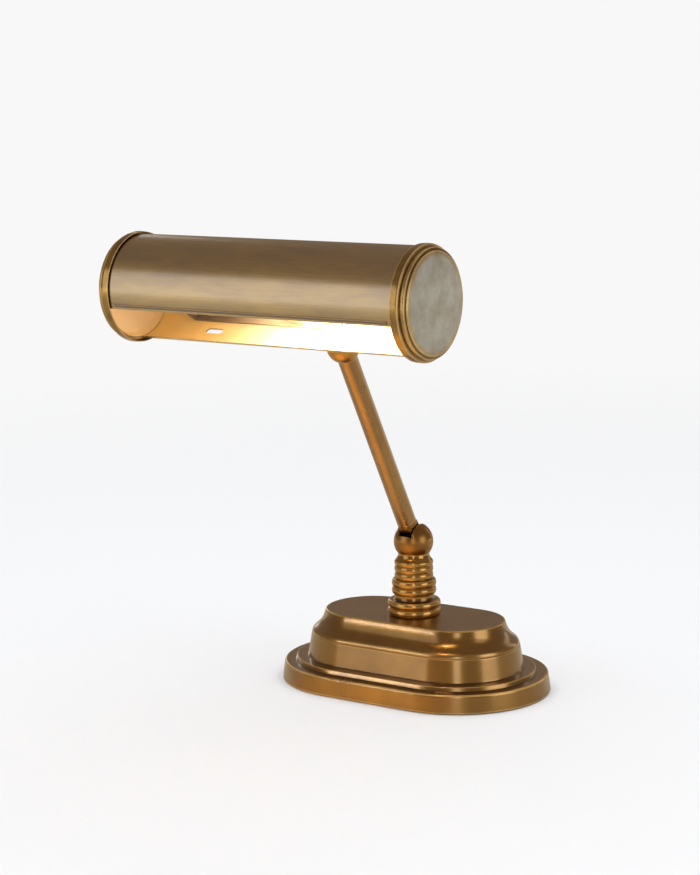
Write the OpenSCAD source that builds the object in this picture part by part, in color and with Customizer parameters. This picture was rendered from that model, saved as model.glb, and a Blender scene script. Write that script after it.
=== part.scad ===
// Bankers lamp: a stepped brass base, a ringed column, a leaning arm between two
// ball knuckles, and a horizontal half-open tube shade with beaded end caps.
// The origin is on the desk, under the middle of the base. +Z is up, -Y is the
// side that the shade leans to, and X runs along the shade.

/* [Base] */
// Length of the base along X
base_length = 180; // [160:1:220]
// Depth of the base along Y
base_depth = 116; // [112:0.5:130]
// Height of the brass edge above the desk
edge_gap = 0.6; // [0.4:0.1:1]
// Height of the lowest tier
foot_height = 11.4; // [10.6:0.1:14]
// Inward lean of the lowest tier's side
foot_draft = 1.3; // [0.5:0.1:2]
// Inset of the thin second tier
step_inset = 9.2; // [8:0.1:11]
// Height of the thin second tier
step_height = 2.8; // [2:0.1:4]
// Inset of the main wall
wall_inset = 17.4; // [17:0.1:19]
// Height of the main wall
wall_height = 14.4; // [13.4:0.1:18]
// Inward lean of the main wall
wall_draft = 1.4; // [0.8:0.1:2]
// Height of the curved ogee above the wall
ogee_height = 15.8; // [14:0.1:20]
// Inset of the flat crown
crown_inset = 28; // [26.5:0.1:29]
// Thickness of the brass shell
shell_wall = 2.2; // [1.6:0.1:2.4]
// Thickness of the felt pad
felt_thickness = 1.2; // [1.1:0.1:2]
// Thickness of the steel bottom plate
plate_thickness = 1.5; // [1:0.1:2]
// Distance of the plate screws from the middle, along X
screw_spread_x = 58; // [50:1:64]
// Distance of the plate screws from the middle, along Y
screw_spread_y = 30; // [26:1:33]

/* [Column] */
// Height of each of the two wide collar rings
collar_pitch = 4.8; // [4.4:0.1:6]
// Radius of the wide collar rings
collar_r = 16.8; // [16:0.1:19]
// Height of the plain band above the collar
band_height = 3.6; // [2.5:0.1:4.5]
// Height of each of the two middle rings
middle_pitch = 4.85; // [4.4:0.05:6]
// Radius of the middle rings
middle_r = 14.1; // [13.5:0.1:15.5]
// Height of each of the three upper rings
upper_pitch = 4.35; // [4:0.05:5]
// Radius of the upper rings
upper_r = 12.3; // [11.8:0.1:13]
// Height of the neck above the rings
neck_height = 3.25; // [2.5:0.05:4]
// Radius of the neck
neck_r = 9.8; // [9:0.1:10.1]
// Radius of the threaded rod
rod_r = 5; // [4.5:0.1:5.5]
// Radius of the rod's bore
rod_bore_r = 2.2; // [2:0.1:2.8]

/* [Lower knuckle] */
// Radius of the lower ball
ball_r = 12.5; // [12:0.1:14]
// Drop from the lower ball's centre to its flat seat
ball_seat = 7.6; // [7.2:0.1:7.9]
// Width of the slot in the lower ball
slot_width = 10; // [9:0.1:11]
// Thickness of each friction washer
washer_thickness = 0.4; // [0.3:0.1:0.6]
// Radius of the lower hinge pin
pin_r = 2.5; // [2:0.1:2.8]
// Radius of the round end of the lower tongue, and half its width
tongue_r = 5; // [4.6:0.1:5.4]
// Greatest lean of the arm to front and back in the slot, in degrees
slot_lean = 36; // [35.5:0.5:40]

/* [Upper knuckle] */
// Radius of the upper ball
upper_ball_r = 10; // [9.6:0.1:11]
// Drop from the upper ball's centre to the arm tube's end
upper_seat = 7.9; // [7.2:0.1:8.3]
// Width of the slot in the upper ball
upper_slot = 8; // [7.4:0.1:8.6]
// Radius of the upper hinge pin
upper_pin_r = 2; // [1.6:0.1:2.2]
// Radius of the round end of the stem's tongue, and half its width
upper_tongue_r = 4.2; // [3.8:0.1:4.5]
// Greatest bend of the stem to front and back in the slot, in degrees
upper_slot_lean = 45; // [43:0.5:50]

/* [Arm] */
// Lean of the arm from upright at rest, in degrees
arm_lean = 29.6; // [22:0.1:30]
// Distance between the two hinge axes
arm_reach = 152.5; // [140:0.5:180]
// Radius of the arm tube
arm_r = 6.1; // [5.8:0.1:6.4]
// Wall of the arm tube
arm_wall = 1; // [0.8:0.1:1.2]
// Height of the seam between tongue and tube above the lower hinge
seam_height = 16; // [15.5:0.5:22]

/* [Shade] */
// Outer radius of the shade tube
shade_r = 31.2; // [29.5:0.1:31.6]
// Wall of the shade tube
shade_wall = 1; // [0.8:0.1:1.4]
// Length of the shade tube
shade_length = 200.6; // [196:0.2:240]
// Angle of the front edge below level, in degrees
front_edge = 18.6; // [10:0.1:25]
// Angle of the rear edge from the front, through the bottom, in degrees
rear_edge = 97; // [92:0.5:105]
// Width of the folded hem on the front edge
hem_width = 2.6; // [1.5:0.1:4]
// Thickness of the folded hem
hem_thickness = 0.9; // [0.6:0.1:1.2]
// Distance of the hem's ends from the tube's ends
hem_inset = 6.4; // [5:0.1:12]
// Distance of the shade's axis from the upper hinge axis
shade_offset = 76.6; // [68:0.1:84]
// Lean of the shade's stem from upright at rest, in degrees
stem_lean = 60.4; // [58:0.1:62]
// Length of the vent slot
vent_length = 12; // [8:0.5:18]
// Width of the vent slot
vent_width = 4.6; // [3:0.1:6]
// Distance of the vent slot from the middle of the shade
vent_x = 56.5; // [45:0.5:62]
// Angle of the vent slot, counted as the rear edge is
vent_angle = 121; // [115:0.5:124]

/* [End caps] */
// How far the cap's rim stands out from the tube
cap_overhang = 1.45; // [1.2:0.05:4]
// Radial gap between the tube and the cap's skirt
cap_gap = 0.4; // [0.2:0.1:0.6]
// Length of the cap's skirt over the tube
skirt_length = 3.5; // [3:0.1:5]
// How far the second bead stays inside the tube's radius
bead_inset = 0.3; // [0:0.1:0.7]
// How far the face's edge stays inside the tube's radius
face_inset = 2.2; // [1.9:0.1:3.2]
// Height of the cap outside the tube's end
cap_height = 7.4; // [6.6:0.1:8.4]
// Wall of the cap
cap_wall = 1.2; // [0.8:0.1:1.4]

/* [Lamp] */
// Length of the lamp bracket
bracket_length = 104; // [96:1:112]
// Distance of the bracket's left end from the middle
bracket_start = 75; // [68:0.5:80]
// Half width of the lamp bracket
bracket_half = 8; // [7.6:0.1:10]
// Thickness of the lamp bracket
bracket_thickness = 1.5; // [1:0.1:1.8]
// Radius of the lampholder
holder_r = 12.5; // [11:0.1:14]
// Length of the lampholder's barrel
holder_length = 33; // [30:0.5:38]
// Radius of the lamp's screw cap
lamp_cap_r = 7; // [6.5:0.1:7.3]
// Radius of the glass
glass_r = 12; // [11:0.1:13]
// Distance of the lamp's axis from the shade's axis, away from the stem
lamp_shift = 3; // [1:0.1:4]
// Length of the glass
glass_length = 86; // [74:0.5:92]

/* [Switch and inlet] */
// Sideways distance of switch and inlet from the middle
service_x = 12; // [10:0.5:16]
// Radius of the push button
button_r = 3.5; // [3:0.1:4]
// Travel of the push button
button_travel = 1.5; // [1:0.1:2]
// Radius of the switch's ring nut
ring_nut_r = 5.5; // [5:0.1:5.7]
// Radius of the cable inlet's bore
inlet_bore_r = 2.6; // [2:0.1:2.8]
// Radius of the cable inlet's flange
inlet_flange_r = 4.4; // [4:0.1:4.6]

/* [Hidden] */
$fn = 64;

// Colours of the finishes
antique_brass = "#9a7335";
dark_brass = "#6d5233";
bright_brass = "#c89b4e";
steel_grey = "#9aa0a4";
iron_grey = "#4b4b4d";
felt_green = "#2c3a2f";
cream_paint = "#f0e2c4";
porcelain = "#f3f0e8";
black_phenolic = "#26221f";
warm_glass = "#ffe9bf";
flex_brown = "#5a3b22";

// Clearances between pieces
fit_gap = 0.05;
slide_gap = 0.1;
loose_gap = 0.3;
cut = 1;
bead_steps = 6;
curve_steps = 10;

// Heights and radii of the base's tiers
foot_r = base_depth / 2;
end_x = base_length / 2 - foot_r;
foot_top = edge_gap + foot_height;
step_r = foot_r - step_inset;
step_top = foot_top + step_height;
wall_r = foot_r - wall_inset;
wall_top = step_top + wall_height;
shoulder_r = wall_r - wall_draft;
crown_r = foot_r - crown_inset;
crown_z = wall_top + ogee_height;
edge_round = 0.6;
ogee_swell = 0.25 * ogee_height;
scoop_out = 0.32 * (shoulder_r - crown_r);
scoop_drop = 0.68 * ogee_height;

// Hollow of the base
foot_cavity_r = foot_r - foot_draft - shell_wall;
wall_cavity_r = shoulder_r - shell_wall;
shoulder_cavity_r = wall_cavity_r - 3.5;
crown_cavity_r = crown_r - shell_wall;
foot_ceiling = foot_top - shell_wall;
wall_ceiling = wall_top - shell_wall;
shoulder_ceiling = wall_top + 3;
crown_ceiling = crown_z - shell_wall;
plate_z = felt_thickness;
ballast_z = plate_z + plate_thickness;
plate_r = foot_cavity_r - loose_gap;

// Rod, nut and washer under the ballast
nut_r = 9.8;
nut_height = 6;
rod_washer_r = 11.5;
rod_washer_height = 1.4;
pocket_r = 13;
pocket_depth = 13;
pocket_top = ballast_z + pocket_depth;
column_flex_z = ballast_z + 2.6;
rod_bottom = pocket_top - rod_washer_height - nut_height - 0.6;

// Column, built upwards from the crown
collar_root = collar_r - 1.5;
middle_root = middle_r - 1.4;
upper_root = upper_r - 0.9;
band_r = (middle_root + upper_root) / 2 + 0.5;
collar_top = crown_z + 2 * collar_pitch;
band_top = collar_top + band_height;
middle_top = band_top + 2 * middle_pitch;
rings_top = middle_top + 3 * upper_pitch;
column_top = rings_top + neck_height;
spigot_depth = 12;
rod_top = column_top - spigot_depth - 2;

// Hinge places and joint sizes
hinge_z = column_top + ball_seat;
upper_y = -arm_reach * sin(arm_lean);
upper_z = hinge_z + arm_reach * cos(arm_lean);
shade_y = upper_y - shade_offset * sin(stem_lean);
shade_z = upper_z + shade_offset * cos(stem_lean);
tongue_gap = 0.3;

// Arm, measured along its own axis from the lower hinge
tube_top = arm_reach - upper_seat;
shoulder_height = seam_height - 2;
shoulder_cone = 2;
socket_depth = 12;
flex_r = 1.6;
tube_bore_r = arm_r - arm_wall;

// Stem, measured along its own axis from the upper hinge
wall_out = shade_offset - shade_r;
wall_in = wall_out + shade_wall;
stem_r = 5;
stem_neck = upper_ball_r + 1;
stem_thread_r = 4;
saddle_r = 11;
saddle_bottom = wall_out - 7;
shade_bore_r = shade_r - shade_wall;
bracket_back = shade_offset - sqrt(pow(shade_bore_r - fit_gap, 2) - pow(bracket_half, 2));
bracket_front = bracket_back + bracket_thickness;
stem_nut_r = 7.5;
stem_nut_height = 4;
stem_top = bracket_front + stem_nut_height + 2;
stem_washer_r = 6;

// Lamp, measured along X from the middle of the shade
flange_x = -bracket_start;
flange_front = flange_x + bracket_thickness;
holder_mouth = flange_front + holder_length;
holder_tail_r = 5;
holder_tail = 7;
holder_bore_r = lamp_cap_r + 0.3;
lamp_cap_length = 18;
lamp_cap_x = holder_mouth - lamp_cap_length - 1;
glass_x = holder_mouth - 1;
glass_wall = 0.8;
glass_neck_r = lamp_cap_r - 0.6;
lead_r = 1.2;
lead_lane = stem_top + 2;
tail_x = flange_x - holder_tail;
lamp_height = shade_offset + lamp_shift;
tab_r = 11;

// Switch and inlet on the back of the base
switch_z = step_top + wall_height / 2;
switch_seat = shoulder_r;
switch_barrel_r = ring_nut_r - 1.2;
switch_depth = 13;
switch_box_half = 6;
switch_box_rise = 4.4;
switch_box_depth = 9;
ring_height = 2.4;
button_proud = 2.4;
button_foot = 3;
inlet_z = edge_gap + foot_height / 2;
inlet_seat = foot_r - foot_draft;
inlet_flange = 1.5;
inlet_barrel_r = inlet_bore_r + 0.8;
bay_half = service_x + 9;
bay_y = pocket_r + 1.5;
block_half = service_x + 4;
block_height = 10;
block_y = bay_y + 1;
block_room = 4.5;
block_depth = wall_cavity_r - block_room - block_y;

// A bead's half round outline between two heights
function bead(low, high, root, top) = [for (i = [0 : bead_steps])
    let (a = 180 * i / bead_steps)
    [root + (top - root) * sin(a), (low + high) / 2 - (high - low) / 2 * cos(a)]];

// A point of a cubic curve
function cubic(p0, p1, p2, p3, t) = pow(1 - t, 3) * p0 + 3 * t * pow(1 - t, 2) * p1
    + 3 * t * t * (1 - t) * p2 + pow(t, 3) * p3;
function curve(p0, p1, p2, p3) = [for (i = [0 : curve_steps]) cubic(p0, p1, p2, p3, i / curve_steps)];

// A solid of one half outline carried round the base's oval plan
module oval(outline) {
    for (side = [0, 180])
        rotate([0, 0, side]) translate([end_x, 0, 0]) rotate([0, 0, -90])
            rotate_extrude(angle = 180) polygon(outline);
    along_x(2 * end_x) {
        polygon(outline);
        mirror([1, 0]) polygon(outline);
    }
}

module oval_slab(r, low, high) oval([[0, low], [r, low], [r, high], [0, high]]);

// A flat shape in Y and Z, carried along X about the middle
module along_x(length) rotate([90, 0, 90]) linear_extrude(length, center = true) children();

// A turned piece whose axis is X, from its radius and place outline
module turned_x(outline) rotate([0, 90, 0]) rotate_extrude() polygon(outline);

module rod_x(r, length) rotate([0, 90, 0]) cylinder(r = r, h = length, center = true);

// A round bar between two points
module bar(a, b, r) {
    d = b - a;
    reach = norm(d);
    translate(a) rotate([0, acos(d[2] / reach), atan2(d[1], d[0])]) cylinder(r = r, h = reach);
}

// A wire through a list of points, with round corners
module wire(points, r) {
    for (i = [0 : len(points) - 2]) bar(points[i], points[i + 1], r);
    for (i = [1 : 1 : len(points) - 2]) translate(points[i]) sphere(r);
}

module hex(r, h) cylinder(r = r, h = h, $fn = 6);

// Frames: the arm from the lower hinge, the stem from the upper hinge, and the shade's axis
module arm_frame() translate([0, 0, hinge_z]) rotate([arm_lean, 0, 0]) children();
module upper_frame() translate([0, upper_y, upper_z]) rotate([arm_lean, 0, 0]) children();
module stem_frame() translate([0, upper_y, upper_z]) rotate([stem_lean, 0, 0]) children();
module shade_frame() translate([0, shade_y, shade_z]) children();
module lamp_frame() stem_frame() translate([0, 0, lamp_height]) children();

// Base

base_outline = concat(
    [[0, edge_gap], [foot_r, edge_gap], [foot_r - foot_draft, foot_top - edge_round],
     [foot_r - foot_draft - edge_round, foot_top], [step_r, foot_top], [step_r, step_top - edge_round],
     [step_r - edge_round, step_top], [wall_r, step_top]],
    curve([shoulder_r, wall_top], [shoulder_r, wall_top + ogee_swell],
          [crown_r + scoop_out, crown_z - scoop_drop], [crown_r, crown_z - edge_round]),
    [[crown_r - edge_round, crown_z], [0, crown_z]]);

cavity_outline = [[0, edge_gap - cut], [foot_cavity_r, edge_gap - cut], [foot_cavity_r, foot_ceiling],
    [wall_cavity_r, foot_ceiling], [wall_cavity_r, wall_ceiling], [shoulder_cavity_r, wall_ceiling],
    [shoulder_cavity_r, shoulder_ceiling], [crown_cavity_r, shoulder_ceiling],
    [crown_cavity_r, crown_ceiling], [0, crown_ceiling]];

module to_back(x, y, z) translate([x, y, z]) rotate([-90, 0, 0]) children();

module base_shell() color(antique_brass) difference() {
    oval(base_outline);
    oval(cavity_outline);
    translate([0, 0, crown_ceiling - cut]) cylinder(r = rod_r + fit_gap, h = shell_wall + 2 * cut);
    to_back(service_x, wall_cavity_r - cut, switch_z)
        cylinder(r = switch_barrel_r + fit_gap, h = 4 * shell_wall);
    to_back(service_x, switch_seat, switch_z) cylinder(r = ring_nut_r + slide_gap, h = 4 * shell_wall);
    to_back(-service_x, foot_cavity_r - cut, inlet_z)
        cylinder(r = inlet_barrel_r + fit_gap, h = 4 * shell_wall);
    to_back(-service_x, inlet_seat, inlet_z) cylinder(r = inlet_flange_r + slide_gap, h = 4 * shell_wall);
}

module at_screws() for (x = [-screw_spread_x, screw_spread_x], y = [-screw_spread_y, screw_spread_y])
    translate([x, y, plate_z]) children();

screw_r = 2;
screw_head_r = 3.6;
screw_length = 8;

module ballast() color(iron_grey) difference() {
    union() {
        oval_slab(foot_cavity_r - loose_gap, ballast_z, foot_ceiling);
        oval_slab(wall_cavity_r - loose_gap, foot_ceiling, wall_ceiling - loose_gap);
    }
    translate([0, 0, ballast_z - cut]) cylinder(r = pocket_r, h = pocket_top - ballast_z + cut);
    translate([0, 0, ballast_z]) cylinder(r = rod_r + loose_gap, h = crown_z);
    to_back(0, 0, column_flex_z) cylinder(r = flex_r + loose_gap, h = bay_y + cut);
    translate([-bay_half, bay_y, ballast_z - cut]) cube([2 * bay_half, base_depth, crown_z]);
    at_screws() cylinder(r = screw_r + fit_gap, h = screw_length + cut);
}

module bottom_plate() color(steel_grey) difference() {
    oval_slab(plate_r, plate_z, ballast_z);
    at_screws() cylinder(r1 = screw_head_r + fit_gap, r2 = screw_r + fit_gap, h = plate_thickness);
}

module felt_pad() color(felt_green) oval_slab(plate_r, 0, plate_z);

module plate_screws() color(steel_grey) at_screws() {
    cylinder(r1 = screw_head_r, r2 = screw_r, h = plate_thickness);
    cylinder(r = screw_r, h = screw_length);
}

module cable_inlet() color(black_phenolic) difference() {
    union() {
        to_back(-service_x, foot_cavity_r - shell_wall, inlet_z)
            cylinder(r = inlet_barrel_r, h = inlet_seat - foot_cavity_r + shell_wall + fit_gap);
        to_back(-service_x, inlet_seat, inlet_z) cylinder(r = inlet_flange_r, h = inlet_flange);
    }
    to_back(-service_x, foot_cavity_r - shell_wall - cut, inlet_z)
        cylinder(r = inlet_bore_r, h = 3 * shell_wall + inlet_flange + 2 * cut);
}

module switch_body() color(black_phenolic) difference() {
    union() {
        to_back(service_x, switch_seat - switch_depth, switch_z)
            cylinder(r = switch_barrel_r, h = switch_depth + ring_height - 0.6);
        translate([service_x - switch_box_half, switch_seat - switch_depth, switch_z - switch_box_rise])
            cube([2 * switch_box_half, switch_box_depth, 2 * switch_box_rise]);
    }
    to_back(service_x, switch_seat - button_foot - button_travel, switch_z)
        cylinder(r = button_r + slide_gap, h = switch_depth + ring_height);
}

module switch_ring() color(bright_brass) difference() {
    to_back(service_x, switch_seat, switch_z) cylinder(r = ring_nut_r, h = ring_height);
    to_back(service_x, switch_seat - cut, switch_z)
        cylinder(r = switch_barrel_r + fit_gap, h = ring_height + 2 * cut);
}

module switch_button() color(bright_brass)
    to_back(service_x, switch_seat - button_foot, switch_z)
        cylinder(r = button_r, h = button_foot + ring_height + button_proud);

block_top = ballast_z + block_height;
lead_spread = 2;

module switch_leads() color(flex_brown) for (side = [-1, 1])
    translate([service_x + side * lead_spread, switch_seat - switch_depth + lead_spread, block_top])
        cylinder(r = lead_r, h = switch_z - switch_box_rise - block_top);

screw_row = [-0.6, 0.6];

module terminal_block() color(porcelain) difference() {
    translate([-block_half, block_y, ballast_z]) cube([2 * block_half, block_depth, block_height]);
    for (x = screw_row) translate([x * block_half, block_y + block_depth / 3, ballast_z + block_height / 2])
        cylinder(r = screw_r + fit_gap, h = block_height);
    to_back(0, block_y - cut, column_flex_z) cylinder(r = flex_r + fit_gap, h = block_depth / 4 + cut);
}

module terminal_screws() color(bright_brass) for (x = screw_row)
    translate([x * block_half, block_y + block_depth / 3, ballast_z + block_height / 2])
        cylinder(r = screw_r, h = block_height / 2 - 1);

// Column

column_outline = concat(
    [[rod_r + fit_gap, crown_z]],
    bead(crown_z, crown_z + collar_pitch, collar_root, collar_r),
    bead(crown_z + collar_pitch, collar_top, collar_root, collar_r),
    [[band_r, collar_top], [band_r, band_top]],
    bead(band_top, band_top + middle_pitch, middle_root, middle_r),
    bead(band_top + middle_pitch, middle_top, middle_root, middle_r),
    bead(middle_top, middle_top + upper_pitch, upper_root, upper_r),
    bead(middle_top + upper_pitch, middle_top + 2 * upper_pitch, upper_root, upper_r),
    curve([upper_root, middle_top + 2 * upper_pitch], [upper_r + 0.5, rings_top - 0.8 * upper_pitch],
          [upper_r + 0.8, rings_top - 0.2 * upper_pitch], [neck_r, rings_top + 0.4 * neck_height]),
    [[neck_r, column_top], [rod_r + fit_gap, column_top]]);

module column() color(antique_brass) rotate_extrude() polygon(column_outline);

module threaded_rod() color(bright_brass) translate([0, 0, rod_bottom]) difference() {
    cylinder(r = rod_r, h = rod_top - rod_bottom);
    translate([0, 0, -cut]) cylinder(r = rod_bore_r, h = rod_top - rod_bottom + 2 * cut);
}

module rod_nut() color(bright_brass) translate([0, 0, pocket_top - rod_washer_height - nut_height])
    difference() {
    hex(nut_r, nut_height);
    translate([0, 0, -cut]) cylinder(r = rod_r + fit_gap, h = nut_height + 2 * cut);
}

module rod_washer() color(steel_grey) translate([0, 0, pocket_top - rod_washer_height]) difference() {
    cylinder(r = rod_washer_r, h = rod_washer_height);
    translate([0, 0, -cut]) cylinder(r = rod_r + fit_gap, h = rod_washer_height + 2 * cut);
}

module column_flex() color(flex_brown)
    wire([[0, block_y + block_depth / 4 - fit_gap, column_flex_z], [0, 0, column_flex_z],
          [0, 0, rod_top]], flex_r);

// Knuckles

// The room that a tongue sweeps when it leans to front and back, in Y and Z from the hinge axis
module swept_slot(width, half, lean, far) {
    front = [-sin(lean), cos(lean)];
    rear = [sin(lean), cos(lean)];
    front_side = half * [-cos(lean), -sin(lean)];
    rear_side = half * [cos(lean), -sin(lean)];
    along_x(width) {
        circle(half);
        polygon([front_side, front_side + far * front, rear_side + far * rear, rear_side]);
    }
}

// A slotted ball on a spigot, from its hinge axis
module slotted_ball(r, seat, slot, half, lean, hinge_r, spigot_r, spigot_length) difference() {
    union() {
        difference() {
            sphere(r);
            translate([0, 0, -seat - r]) cube(2 * r, center = true);
        }
        translate([0, 0, -seat - spigot_length]) cylinder(r = spigot_r, h = spigot_length + cut / 2);
    }
    swept_slot(slot, half + tongue_gap, lean, 3 * r);
    rod_x(hinge_r + fit_gap, 3 * r);
}

module hinge_pin(ball, r) intersection() {
    rod_x(r, 3 * ball);
    sphere(ball - fit_gap);
}

function tongue_thickness(slot) = slot - 2 * washer_thickness - 4 * fit_gap;

module friction_washers(slot, r, hinge_r) for (side = [-1, 1])
    translate([side * (tongue_thickness(slot) + washer_thickness + fit_gap) / 2, 0, 0]) difference() {
        rod_x(r, washer_thickness);
        rod_x(hinge_r + fit_gap, 2 * washer_thickness);
    }

// A flat tongue with a round end on the hinge axis
module tongue(slot, r, hinge_r, length) difference() {
    union() {
        rod_x(r, tongue_thickness(slot));
        translate([-tongue_thickness(slot) / 2, -r, 0]) cube([tongue_thickness(slot), 2 * r, length]);
    }
    rod_x(hinge_r + fit_gap, 2 * slot);
}

module lower_ball() color(antique_brass) translate([0, 0, hinge_z])
    slotted_ball(ball_r, ball_seat, slot_width, tongue_r, slot_lean, pin_r, rod_r, spigot_depth);

module lower_pin() color(antique_brass) translate([0, 0, hinge_z]) hinge_pin(ball_r, pin_r);

module lower_washers() color(bright_brass) arm_frame()
    friction_washers(slot_width, tongue_r - tongue_gap, pin_r);

// Arm

module lower_tongue() color(antique_brass) arm_frame() difference() {
    union() {
        tongue(slot_width, tongue_r, pin_r, shoulder_height);
        translate([0, 0, shoulder_height - shoulder_cone])
            cylinder(r1 = tongue_r - tongue_gap, r2 = arm_r, h = shoulder_cone);
        translate([0, 0, shoulder_height]) cylinder(r = arm_r, h = seam_height - shoulder_height);
        translate([0, 0, seam_height]) cylinder(r = tube_bore_r - fit_gap, h = socket_depth);
    }
    translate([0, 0, seam_height]) cylinder(r = flex_r + slide_gap, h = socket_depth + cut);
}

module arm_tube() color(antique_brass) arm_frame() translate([0, 0, seam_height]) difference() {
    cylinder(r = arm_r, h = tube_top - seam_height);
    translate([0, 0, -cut]) cylinder(r = tube_bore_r, h = tube_top - seam_height + 2 * cut);
}

module arm_flex() color(flex_brown) arm_frame()
    translate([0, 0, seam_height]) cylinder(r = flex_r, h = tube_top - shoulder_cone - seam_height);

module upper_ball() color(antique_brass) upper_frame() difference() {
    slotted_ball(upper_ball_r, upper_seat, upper_slot, upper_tongue_r, upper_slot_lean, upper_pin_r,
                 tube_bore_r - fit_gap, socket_depth);
    translate([0, 0, -upper_seat - socket_depth - cut]) cylinder(r = flex_r + slide_gap, h = socket_depth);
}

module upper_pin() color(antique_brass) upper_frame() hinge_pin(upper_ball_r, upper_pin_r);

module upper_washers() color(bright_brass) stem_frame()
    friction_washers(upper_slot, upper_tongue_r - tongue_gap, upper_pin_r);

// Shade

module shade_stem() color(antique_brass) stem_frame() difference() {
    union() {
        tongue(upper_slot, upper_tongue_r, upper_pin_r, stem_neck + 1);
        translate([0, 0, stem_neck]) cylinder(r = stem_r, h = saddle_bottom - stem_neck);
        translate([0, 0, saddle_bottom]) cylinder(r = stem_thread_r, h = stem_top - saddle_bottom);
    }
    translate([0, 0, saddle_bottom]) cylinder(r = lead_r + slide_gap, h = stem_top);
}

// The shade's outer wall as seen from the stem
module tube_from_stem(r) translate([0, 0, shade_offset]) rod_x(r, shade_length);

module shade_saddle() color(antique_brass) stem_frame() difference() {
    translate([0, 0, saddle_bottom])
        cylinder(r1 = stem_r + 2, r2 = saddle_r, h = wall_out - saddle_bottom + 3);
    translate([0, 0, saddle_bottom - cut]) cylinder(r = stem_thread_r + fit_gap, h = shade_offset);
    tube_from_stem(shade_r + fit_gap);
}

module stem_washer() color(steel_grey) stem_frame() difference() {
    intersection() {
        translate([0, 0, wall_out]) cylinder(r = stem_washer_r, h = bracket_back - wall_out);
        tube_from_stem(shade_bore_r - fit_gap);
    }
    translate([0, 0, wall_out - cut]) cylinder(r = stem_thread_r + fit_gap, h = shade_offset);
}

module stem_nut() color(bright_brass) stem_frame() translate([0, 0, bracket_front]) difference() {
    hex(stem_nut_r, stem_nut_height);
    translate([0, 0, -cut]) cylinder(r = stem_thread_r + fit_gap, h = stem_nut_height + 2 * cut);
}

// A ring sector between two angles, counted from the front through the bottom
module sector(inner, outer, from, to) {
    far = 2 * outer;
    intersection() {
        difference() {
            circle(outer);
            circle(inner);
        }
        polygon(concat([[0, 0]], [for (i = [0 : curve_steps])
            let (a = from + (to - from) * i / curve_steps) far * [-cos(a), -sin(a)]]));
    }
}

hem_angle = hem_width / shade_r * 180 / PI;
hem_gap = 1.6;

module shade_tube() color(dark_brass) difference() {
    shade_frame() {
        along_x(shade_length) sector(shade_bore_r, shade_r, rear_edge, 360 + front_edge);
        along_x(shade_length - 2 * hem_inset)
            sector(shade_r - fit_gap, shade_r + hem_thickness,
                   front_edge - hem_gap - hem_angle, front_edge - hem_gap);
    }
    shade_frame() translate([-vent_x, 0, 0]) rotate([vent_angle - 90, 0, 0]) {
        for (side = [-1, 1]) translate([side * (vent_length - vent_width) / 2, 0, -shade_r - cut])
            cylinder(r = vent_width / 2, h = shade_r);
        translate([0, 0, -shade_r / 2 - cut])
            cube([vent_length - vent_width, vent_width, shade_r], center = true);
    }
    stem_frame() cylinder(r = stem_thread_r + slide_gap, h = shade_offset);
}

half_tube = shade_length / 2;
skirt_in = shade_r + cap_gap;
cap_r = shade_r + cap_overhang;
bead_r = shade_r - bead_inset;
face_r = shade_r - face_inset;
cap_ledge_r = shade_bore_r - 0.6;

cap_outline = concat(
    [[skirt_in, half_tube - skirt_length], [skirt_in + 0.4, half_tube - skirt_length]],
    curve([skirt_in + 0.5, half_tube - 0.8 * skirt_length], [cap_r - 0.3, half_tube - 0.5 * skirt_length],
          [cap_r + 0.2, half_tube], [cap_r - 0.1, half_tube + 0.16 * cap_height]),
    [[bead_r - 0.4, half_tube + 0.25 * cap_height]],
    bead(half_tube + 0.3 * cap_height, half_tube + 0.64 * cap_height, bead_r - 0.6, bead_r),
    [[face_r, half_tube + 0.66 * cap_height], [face_r, half_tube + 0.72 * cap_height],
     [face_r - 0.8, half_tube + 0.79 * cap_height], [face_r / 2, half_tube + 0.95 * cap_height],
     [0, half_tube + cap_height], [0, half_tube + cap_height - cap_wall],
     [face_r / 2, half_tube + 0.95 * cap_height - cap_wall],
     [face_r - cap_wall - 0.4, half_tube + 0.76 * cap_height - cap_wall],
     [cap_ledge_r - 0.8, half_tube + 0.3 * cap_height], [cap_ledge_r, half_tube], [skirt_in, half_tube]]);

module right_cap() color(antique_brass) shade_frame() turned_x(cap_outline);

module left_cap() color(antique_brass) mirror([1, 0, 0]) shade_frame() turned_x(cap_outline);

// Lamp inside the shade

module lamp_bracket() color(cream_paint) stem_frame() difference() {
    union() {
        translate([flange_x, -bracket_half, bracket_back])
            cube([bracket_length, 2 * bracket_half, bracket_thickness]);
        translate([flange_x, -bracket_half, bracket_back])
            cube([bracket_thickness, 2 * bracket_half, lamp_height - bracket_back]);
        translate([flange_x, 0, lamp_height]) rotate([0, 90, 0]) cylinder(r = tab_r, h = bracket_thickness);
    }
    translate([0, 0, wall_in]) cylinder(r = stem_thread_r + slide_gap, h = shade_r);
    translate([flange_x, 0, lamp_height]) rod_x(holder_tail_r + fit_gap, 4 * bracket_thickness);
    translate([flange_x, 0, lead_lane]) rod_x(lead_r + slide_gap, 4 * bracket_thickness);
}

module lampholder() color(porcelain) lamp_frame() turned_x([
    [0, tail_x], [holder_tail_r, tail_x], [holder_tail_r, flange_front], [holder_r, flange_front],
    [holder_r, flange_front + holder_length / 3], [holder_r - 0.8, flange_front + holder_length / 3 + 1],
    [holder_r - 0.8, holder_mouth], [holder_bore_r, holder_mouth], [holder_bore_r, lamp_cap_x],
    [0, lamp_cap_x]]);

holder_nut_height = 3;

module holder_nut() color(bright_brass) lamp_frame()
    translate([flange_x - holder_nut_height, 0, 0]) rotate([0, 90, 0]) difference() {
        hex(holder_tail_r + 3, holder_nut_height);
        translate([0, 0, -cut]) cylinder(r = holder_tail_r + fit_gap, h = holder_nut_height + 2 * cut);
    }

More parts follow.
